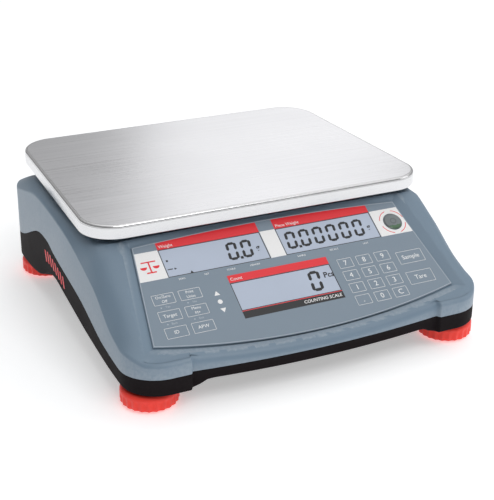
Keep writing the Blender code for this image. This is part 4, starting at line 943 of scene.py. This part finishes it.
def build_wheels():
    """Foot wheels: smooth shoulder, shallow wide flutes, scalloped lower edge, stud on top."""
    profile = [(SOLE_RADIUS + FIT_GAP, SOLE_HEIGHT + FIT_GAP, 0.0), (SOLE_RADIUS + FIT_GAP,
                                                                      WHEEL_BOTTOM, 0.0)]
    sweep = FOOT_RADIUS - FIT_GAP
    profile += [(sweep - 0.0026, WHEEL_BOTTOM, 0.5), (sweep - 0.0010, WHEEL_BOTTOM + 0.0004, 1.0),
                (sweep, WHEEL_BOTTOM + 0.0014, 1.0), (sweep, 0.0070, 1.0), (sweep, 0.0088, 0.85),
                (sweep, 0.0100, 0.35), (sweep, 0.0108, 0.0)]
    for i in range(1, 9):
        angle = math.pi / 2 * i / 8
        profile.append((sweep - 0.0036 * (1 - math.cos(angle)), 0.0108 + 0.0040 * math.sin(angle),
                        0.0))
    profile += [(STUD_RADIUS + 0.0040, WHEEL_TOP, 0.0), (STUD_RADIUS, WHEEL_TOP, 0.0),
                (STUD_RADIUS, STUD_TOP - 0.0006, 0.0), (STUD_RADIUS - 0.0006, STUD_TOP, 0.0)]
    sides = VISUAL_FLUTES * 8
    for corner, place in foot_places().items():
        bm = bmesh.new()
        rings = []
        for radius, height, share in profile:
            row = []
            for k in range(sides):
                angle = math.tau * k / sides
                wave = (0.5 + 0.5 * math.cos(VISUAL_FLUTES * angle)) ** 0.7
                reach = radius - share * FLUTE_DEPTH * wave
                row.append((place[0] + reach * math.cos(angle),
                            place[1] + reach * math.sin(angle), height))
            rings.append(row)
        loft(bm, rings)
        bmesh.ops.recalc_face_normals(bm, faces=bm.faces)
        add_piece("wheel_" + corner, bm, "foot_wheel_" + corner, "red_nylon", FOOT_RED,
                  stands_for=["foot_wheel_" + corner], sharp=50)


# ---- control panel ----
def overlay_half(v):
    """Half the film's width at v."""
    return OVERLAY_TOP_HALF + (OVERLAY_LOW_HALF - OVERLAY_TOP_HALF) * v / OVERLAY_SIDE


def overlay_crest(u):
    """v of the film's bowed top edge at u."""
    return -OVERLAY_TOP_BOW * (1 - (u / OVERLAY_TOP_HALF) ** 2)


def build_film():
    bm = bmesh.new()
    prism(bm, panel_outline(0.0, 0.0), -OVERLAY_THICK, 0.0, PANEL)
    cutter = bmesh.new()
    low, high = -3 * OVERLAY_THICK, 2 * OVERLAY_THICK
    for window in lcd_windows().values():
        panel_box(cutter, *window, low, high, 0.0, 0.0004)
    for name in KEY_LEGENDS:
        panel_box(cutter, *panel_spot(name), low, high, FIT_GAP, KEY_CORNER)
    cylinder(cutter, VIAL_RADIUS + FIT_GAP / 3, low, high, (VIAL_PLACE[0], -VIAL_PLACE[1]),
             PANEL, sides=64)
    add_piece("panel_film", carved(bm, [("DIFFERENCE", cutter)]), "housing", "grey_overlay", FILM,
              stands_for=["panel_overlay"])
    # Pale line just inside the film's edge: partly print, partly a painted highlight of the recess
    # edge.
    bm = bmesh.new()
    strip(bm, panel_outline(-0.0006, -0.0006), panel_outline(-0.00095, -0.00095), 0.0, PRINT,
          PANEL)
    film_print("film_edge_highlight_line", bm, PALE_INK_AND_EDGE_HIGHLIGHT)


def bowed_bar(bm, left, right, v_low):
    """A printed bar whose upper edge follows the film's bowed edge."""
    steps = 16
    spots = [right + (left - right) * i / steps for i in range(steps + 1)]
    crest = [(u, -(overlay_crest(u) + BAR_EDGE)) for u in spots]
    printed(bm, [(left, -v_low), (right, -v_low)] + crest)


def build_printing():
    windows = lcd_windows()
    weight, unit, count = (windows["lcd_" + name] for name in ("weight", "piece_weight", "count"))
    left = weight[0] - weight[2] / 2
    middle = (weight[0] + weight[2] / 2, unit[0] - unit[2] / 2)
    right = unit[0] + unit[2] / 2
    top, low = (weight[1] + side * weight[3] / 2 for side in (-1, 1))
    count_left, count_right = (count[0] + side * count[2] / 2 for side in (-1, 1))
    count_top, count_low = (count[1] + side * count[3] / 2 for side in (-1, 1))

    bm = bmesh.new()
    bowed_bar(bm, left, middle[0], top)
    bowed_bar(bm, middle[1], right, top)
    panel_box(bm, count[0], count_top - 0.0036, count[2], 0.0070)
    panel_box(bm, count[0], count_low + 0.0004, count[2], 0.0006)
    film_print("red_bars", bm, INK_RED)

    bm = bmesh.new()
    edge = 0.0010
    for side, inner in ((-1, left - 0.0002), (1, right + 0.0002)):
        outer_top = side * (overlay_half(top) - edge)
        outer_low = side * (overlay_half(low) - edge)
        outline = [(inner, -low), (outer_low, -low), (outer_top, -top), (inner, -top)]
        printed(bm, outline[::side])
    panel_box(bm, (middle[0] + middle[1]) / 2, (top + low) / 2, middle[1] - middle[0] - 0.0006,
              low - top)
    hole = bmesh.new()
    cylinder(hole, VIAL_RADIUS + 0.0004, -PRINT, 3 * PRINT, (VIAL_PLACE[0], -VIAL_PLACE[1]),
             PANEL, sides=64)
    film_print("white_fields", carved(bm, [("DIFFERENCE", hole)]), INK_WHITE)

    bm = bmesh.new()
    panel_box(bm, count[0], count_low + 0.0040, count[2], 0.0064)
    u = left + 0.020
    printed(bm, [(u - 0.0016, -low), (u + 0.0016, -low), (u, -low + 0.0026)])
    film_print("black_prints", bm, INK_BLACK)

    bm = bmesh.new()
    for title, edge, v in (("Weight", left, top - 0.0026), ("Piece Weight", middle[1], top - 0.0026),
                           ("Count", count_left, count_top - 0.0032)):
        words(bm, title, edge + 0.0015, v, TITLE_SIZE, "LEFT", PRINT)
    words(bm, "COUNTING SCALE", count_right - 0.0020, count_low + 0.0040, TITLE_SIZE, "RIGHT",
          PRINT, 0.15, 0.00004)
    film_print("bar_titles", bm, INK_WHITE)

    bm = bmesh.new()
    for start, step, titles in ((left + 0.010, 0.021, ("ZERO", "NET", "STABLE", "MEMORY")),
                                (middle[1] + 0.012, 0.030, ("SAMPLE", "RECALC", "UNIT"))):
        for i, title in enumerate(titles):
            words(bm, title, start + i * step, low + 0.0032, FLAG_SIZE)
    mark_u = count_left - 0.0138
    for step, shape in enumerate(("up", "ring", "down")):
        v = 0.055 + 0.008 * step
        if shape == "ring":
            printed(bm, rounded_rectangle(0.0040, 0.0040, 0.00199, (mark_u, -v), 6))
        else:
            way = 1 if shape == "up" else -1
            tip = 0.0020 * way
            outline = [(mark_u - 0.0024, -v - tip), (mark_u + 0.0024, -v - tip), (mark_u, -v + tip)]
            printed(bm, outline[::way])
    film_print("pale_titles", bm, INK_WHITE)

    bm = bmesh.new()
    sign_v = (top + low) / 2
    sign_u = (left - overlay_half(sign_v)) / 2
    for down, width, height in ((-0.0040, 0.0120, 0.0011), (0.0006, 0.0012, 0.0100),
                                (0.0060, 0.0080, 0.0012)):
        panel_box(bm, sign_u, sign_v + down, width, height, PRINT, 2 * PRINT)
    for side in (-1, 1):
        u = sign_u + side * 0.0052
        dish = [(u + 0.0028 * math.cos(a), -(sign_v + 0.0004 + 0.0026 * math.sin(a)))
                for a in [math.pi * k / 10 for k in range(11)]]
        printed(bm, dish[::-1], PRINT)
    for k in range(4):
        sweep = (14.3 + 90 * k, 75.6 + 90 * k, 10)
        vial = (VIAL_PLACE[0], -VIAL_PLACE[1])
        outline = arc(vial, 0.0118, *sweep) + arc(vial, 0.0112, *sweep)[::-1]
        printed(bm, outline, PRINT)
    film_print("red_signs", bm, INK_RED)


SEGMENTS = {
    "0": "abcdef", "1": "bc", "2": "abged", "3": "abgcd", "4": "fgbc", "5": "afgcd",
    "6": "afgedc", "7": "abc", "8": "abcdefg", "9": "abcdfg",
}


def digit(bm, figure, u, v, height, low):
    """One seven-segment figure, its middle at (u, v)."""
    width = height * 0.40
    thick = height * 0.140
    half = height / 2
    lean = 0.10
    spots = {"a": (0, half, 0), "g": (0, 0, 0), "d": (0, -half, 0),
             "f": (-width / 2, half / 2, 1), "b": (width / 2, half / 2, 1),
             "e": (-width / 2, -half / 2, 1), "c": (width / 2, -half / 2, 1)}
    for name in SEGMENTS[figure]:
        x, y, upright = spots[name]
        if name == "a":
            y -= thick / 2
        if name == "d":
            y += thick / 2
        reach = (half - thick * 0.7 if upright else width - thick * 0.3) / 2
        hexagon = [(-reach, 0), (-reach + thick / 2, -thick / 2), (reach - thick / 2, -thick / 2),
                   (reach, 0), (reach - thick / 2, thick / 2), (-reach + thick / 2, thick / 2)]
        outline = []
        for a, b in hexagon:
            px, py = (x - b, y + a) if upright else (x + a, y + b)
            outline.append((u + px + lean * py, -v + py))
        printed(bm, outline, low)


def figures(bm, text, u_right, v, height, low):
    """A row of figures that ends at u_right; a point takes the gap before its figure."""
    pitch = height * 0.74
    u = u_right - pitch / 2
    for mark in reversed(text):
        if mark == ".":
            spot = (u + pitch / 2 - height * 0.035, v + height * 0.44)
            panel_box(bm, *spot, height * 0.14, height * 0.14, low, low + PRINT)
        else:
            digit(bm, mark, u, v, height, low)
            u -= pitch


def build_displays():
    face = -LCD_SINK
    windows = lcd_windows()
    for name, (text, unit, height, end, unit_v) in LCD_READINGS.items():
        u, v, width, tall = windows[name]
        bm = bmesh.new()
        right = u + width / 2
        figures(bm, text, right - end, v, height, face)
        words(bm, unit, right - end + 0.0014, v + unit_v, 0.0072, "LEFT", face, 0.1, 0.00016)
        if name == "lcd_weight":
            left = u - width / 2
            panel_box(bm, left + 0.0040, v + 0.0060, 0.0042, 0.0008, face, face + PRINT)
            panel_box(bm, left + 0.0040, v - 0.0020, 0.0016, 0.0016, face, face + PRINT)
            printed(bm, [(left + 0.0075, -v - 0.0072), (left + 0.0095, -v - 0.0062),
                         (left + 0.0075, -v - 0.0052)], face)
        add_piece(name + "_segments", bm, "housing", "lcd_glass", LCD_INK)
        bm = bmesh.new()
        outer = rounded_rectangle(width - FIT_GAP / 3, tall - FIT_GAP / 3, 0.0004, (u, -v), 3)
        inner = rounded_rectangle(width - 0.0012, tall - 0.0012, 0.0003, (u, -v), 3)
        strip(bm, outer, inner, face - 0.0010, face + 0.00012, PANEL)
        add_piece(name + "_bezel", bm, "housing", "lcd_glass", INK_BLACK)


def build_keys():
    """Each key: a film cap that fills its window, a printed frame and its legend."""
    for name, (upper, lower, size) in KEY_LEGENDS.items():
        u, v, width, height = panel_spot(name)
        bm = bmesh.new()
        panel_box(bm, u, v, width, height, KEY_TRAVEL - OVERLAY_THICK, 0.0,
                  FIT_GAP - KEY_LINE_GAP, KEY_CORNER)
        add_piece(name + "_cap", bm, name, "grey_overlay", FILM, stands_for=[name])
        bm = bmesh.new()
        frame_line(bm, u, v, width, height, KEY_LINE)
        shift = LEGEND_SHIFT if lower else 0.0
        words(bm, upper, u, v - shift, size)
        if lower:
            words(bm, lower, u, v + shift, size)
        add_piece(name + "_print", bm, name, "grey_overlay", INK_WHITE)
    bm = bmesh.new()
    for title, key in (("Yes", "key_on_zero"), ("No", "key_print_units"), ("Back", "key_target"),
                       ("Exit", "key_menu")):
        u, v, width, height = panel_spot(key)
        words(bm, title, u + 0.001, v + height / 2 + 0.0026, 0.0026)
        panel_box(bm, u - 0.0045, v + height / 2 + 0.0026, 0.0010, 0.0010)
    film_print("key_titles", bm, PALE_INK_AND_EDGE_HIGHLIGHT)


def build_level():
    """Round level: cup, green liquid, bubble, marked circle and a low clear-looking dome."""
    place = (VIAL_PLACE[0], -VIAL_PLACE[1])
    bm = bmesh.new()
    dome = [(VIAL_RADIUS, -VIAL_DEPTH), (VIAL_RADIUS, 0.0004)]
    for i in range(1, 9):
        angle = 1.55 * i / 8
        dome.append((VIAL_RADIUS * math.cos(angle), 0.0004 + 0.0010 * math.sin(angle)))
    loft(bm, [[PANEL @ Vector((x, y, height)) for x, y in arc(place, radius, 0, 360, 64)[1:]]
              for radius, height in dome])
    for face in bm.faces:
        centre = PANEL.inverted() @ face.calc_center_median()
        if centre.z > 0.0006 and centre.y < place[1] - 0.0040:
            face.material_index = 1
    bmesh.ops.recalc_face_normals(bm, faces=bm.faces)
    add_piece("level_body", bm, "housing", "vial_acrylic", VIAL_CUP, VIAL_LIQUID,
              stands_for=["level_vial"], sharp=40)
    bm = bmesh.new()
    for radius in (0.0026, 0.0076):
        outer = rounded_rectangle(2 * radius, 2 * radius, radius - 1e-5, place, 12)
        inner = rounded_rectangle(2 * radius - 0.0005, 2 * radius - 0.0005,
                                  radius - 0.00026, place, 12)
        high = 0.0014 if radius < 0.005 else 0.00085
        strip(bm, outer, inner, high - 0.0004, high, PANEL)
    add_piece("level_rings", bm, "housing", "vial_acrylic", INK_BLACK)


# ---- rear connectors ----
def build_connector_details():
    bm = bmesh.new()
    inlet = node_span("mains_inlet")[0]
    port = node_span("serial_port")[0]
    for dx, dz in PIN_PLACES:
        centre = (inlet.x + dx, HALF_DEPTH - INLET_SOCKET_DEPTH + INLET_PIN[1] / 2 + 0.0002,
                  inlet.z + dz)
        box(bm, (INLET_PIN[0] + 0.0003, INLET_PIN[1] + 0.0004, INLET_PIN[2] + 0.0003), centre,
            corner=0.0005)
    add_piece("inlet_pin_sleeves", bm, "housing", "zinc_steel", BRASS)
    bm = bmesh.new()
    for row, many in ((0.0014, 5), (-0.0014, 4)):
        for k in range(many):
            x = port.x + (k - (many - 1) / 2) * 0.00277
            cylinder(bm, 0.0005, HALF_DEPTH - PORT_RECESS_DEPTH, HALF_DEPTH - 0.0012,
                     (x, -(port.z + row)), Matrix.Rotation(math.radians(-90), 4, "X"), sides=12)
    add_piece("port_pins", bm, "housing", "zinc_steel", BRASS)


def build_side_marks():
    """A plain row of slanted bars along the left of the base."""
    bm = bmesh.new()
    for k in range(SIDE_MARKS[2]):
        y = SIDE_MARKS[0] + (SIDE_MARKS[1] - SIDE_MARKS[0]) * k / (SIDE_MARKS[2] - 1)
        z = (along(LOWER_LINE, y) + along(SPLIT_LINE, y)) / 2
        bar = [(y - 0.0030, z - 0.0050), (y + 0.0002, z - 0.0050), (y + 0.0030, z + 0.0050),
               (y - 0.0002, z + 0.0050)]
        stand = Matrix(((0, 0, -1, 0), (1, 0, 0, 0), (0, 1, 0, 0), (0, 0, 0, 1)))
        prism(bm, bar, HALF_WIDTH, HALF_WIDTH + PRINT, stand)
    bmesh.ops.recalc_face_normals(bm, faces=bm.faces)
    add_piece("side_marks", bm, "housing", "black_abs", INK_RED)


# ---- stage ----
def build_stage():
    bm = bmesh.new()
    bmesh.ops.create_grid(bm, x_segments=8, y_segments=8, size=6.0)
    floor = new_object("floor", new_mesh("floor", bm))
    material = plastic("floor_pale", FLOOR_COLOUR, 0.6, 200.0, 0.02, 0.01, 0.0, 0.2)
    tree = material.node_tree
    shader = tree.nodes["Principled BSDF"]
    clear = add_node(tree, "ShaderNodeBsdfTransparent").outputs[0]
    behind = add_node(tree, "ShaderNodeNewGeometry").outputs["Backfacing"]
    choose = add_node(tree, "ShaderNodeMixShader", {0: behind, 1: shader.outputs[0], 2: clear})
    tree.links.new(choose.outputs[0], tree.nodes["Material Output"].inputs["Surface"])
    shader.inputs["Emission Color"].default_value = (1.0, 1.0, 1.0, 1.0)
    shader.inputs["Emission Strength"].default_value = FLOOR_GLOW
    floor.data.materials.append(material)

    world = bpy.data.worlds.new("studio")
    world.use_nodes = True
    backdrop = world.node_tree.nodes["Background"]
    backdrop.inputs["Strength"].default_value = WORLD_STRENGTH
    tree = world.node_tree
    way = add_node(tree, "ShaderNodeTexCoord").outputs["Generated"]
    side = add_node(tree, "ShaderNodeVectorMath", {0: way, 1: SKY_WAY}, operation="DOT_PRODUCT")
    ramp = add_node(tree, "ShaderNodeValToRGB", {"Fac": side.outputs["Value"]})
    for place, value in SKY_TONES:
        spot = ramp.color_ramp.elements.new(place)
        spot.color = (value, value, value, 1.0)
    ramp.color_ramp.elements.remove(ramp.color_ramp.elements[0])
    ramp.color_ramp.elements.remove(ramp.color_ramp.elements[-1])
    tree.links.new(ramp.outputs["Color"], backdrop.inputs["Color"])
    bpy.context.scene.world = world
    bpy.context.scene.view_settings.view_transform = "Standard"

    for name, place, size, power in STUDIO_LIGHTS:
        lamp = bpy.data.lights.new(name, "AREA")
        lamp.shape = "RECTANGLE"
        lamp.size, lamp.size_y = size
        lamp.energy = power
        item = new_object(name, lamp)
        item.location = place
        aim = Vector(LIGHT_AIM) - Vector(place)
        item.rotation_euler = aim.to_track_quat("-Z", "Y").to_euler()

    lens = bpy.data.cameras.new("camera")
    lens.lens = CAMERA_LENS
    camera = new_object("camera", lens)
    camera.location = CAMERA_PLACE
    camera.rotation_euler = CAMERA_TURN
    bpy.context.scene.camera = camera


paint_kept_nodes()
build_housing()
build_base_shell()
build_pan_sheet()
build_wheels()
build_film()
build_printing()
build_displays()
build_keys()
build_level()
build_connector_details()
build_side_marks()
build_stage()

bpy.context.view_layer.update()
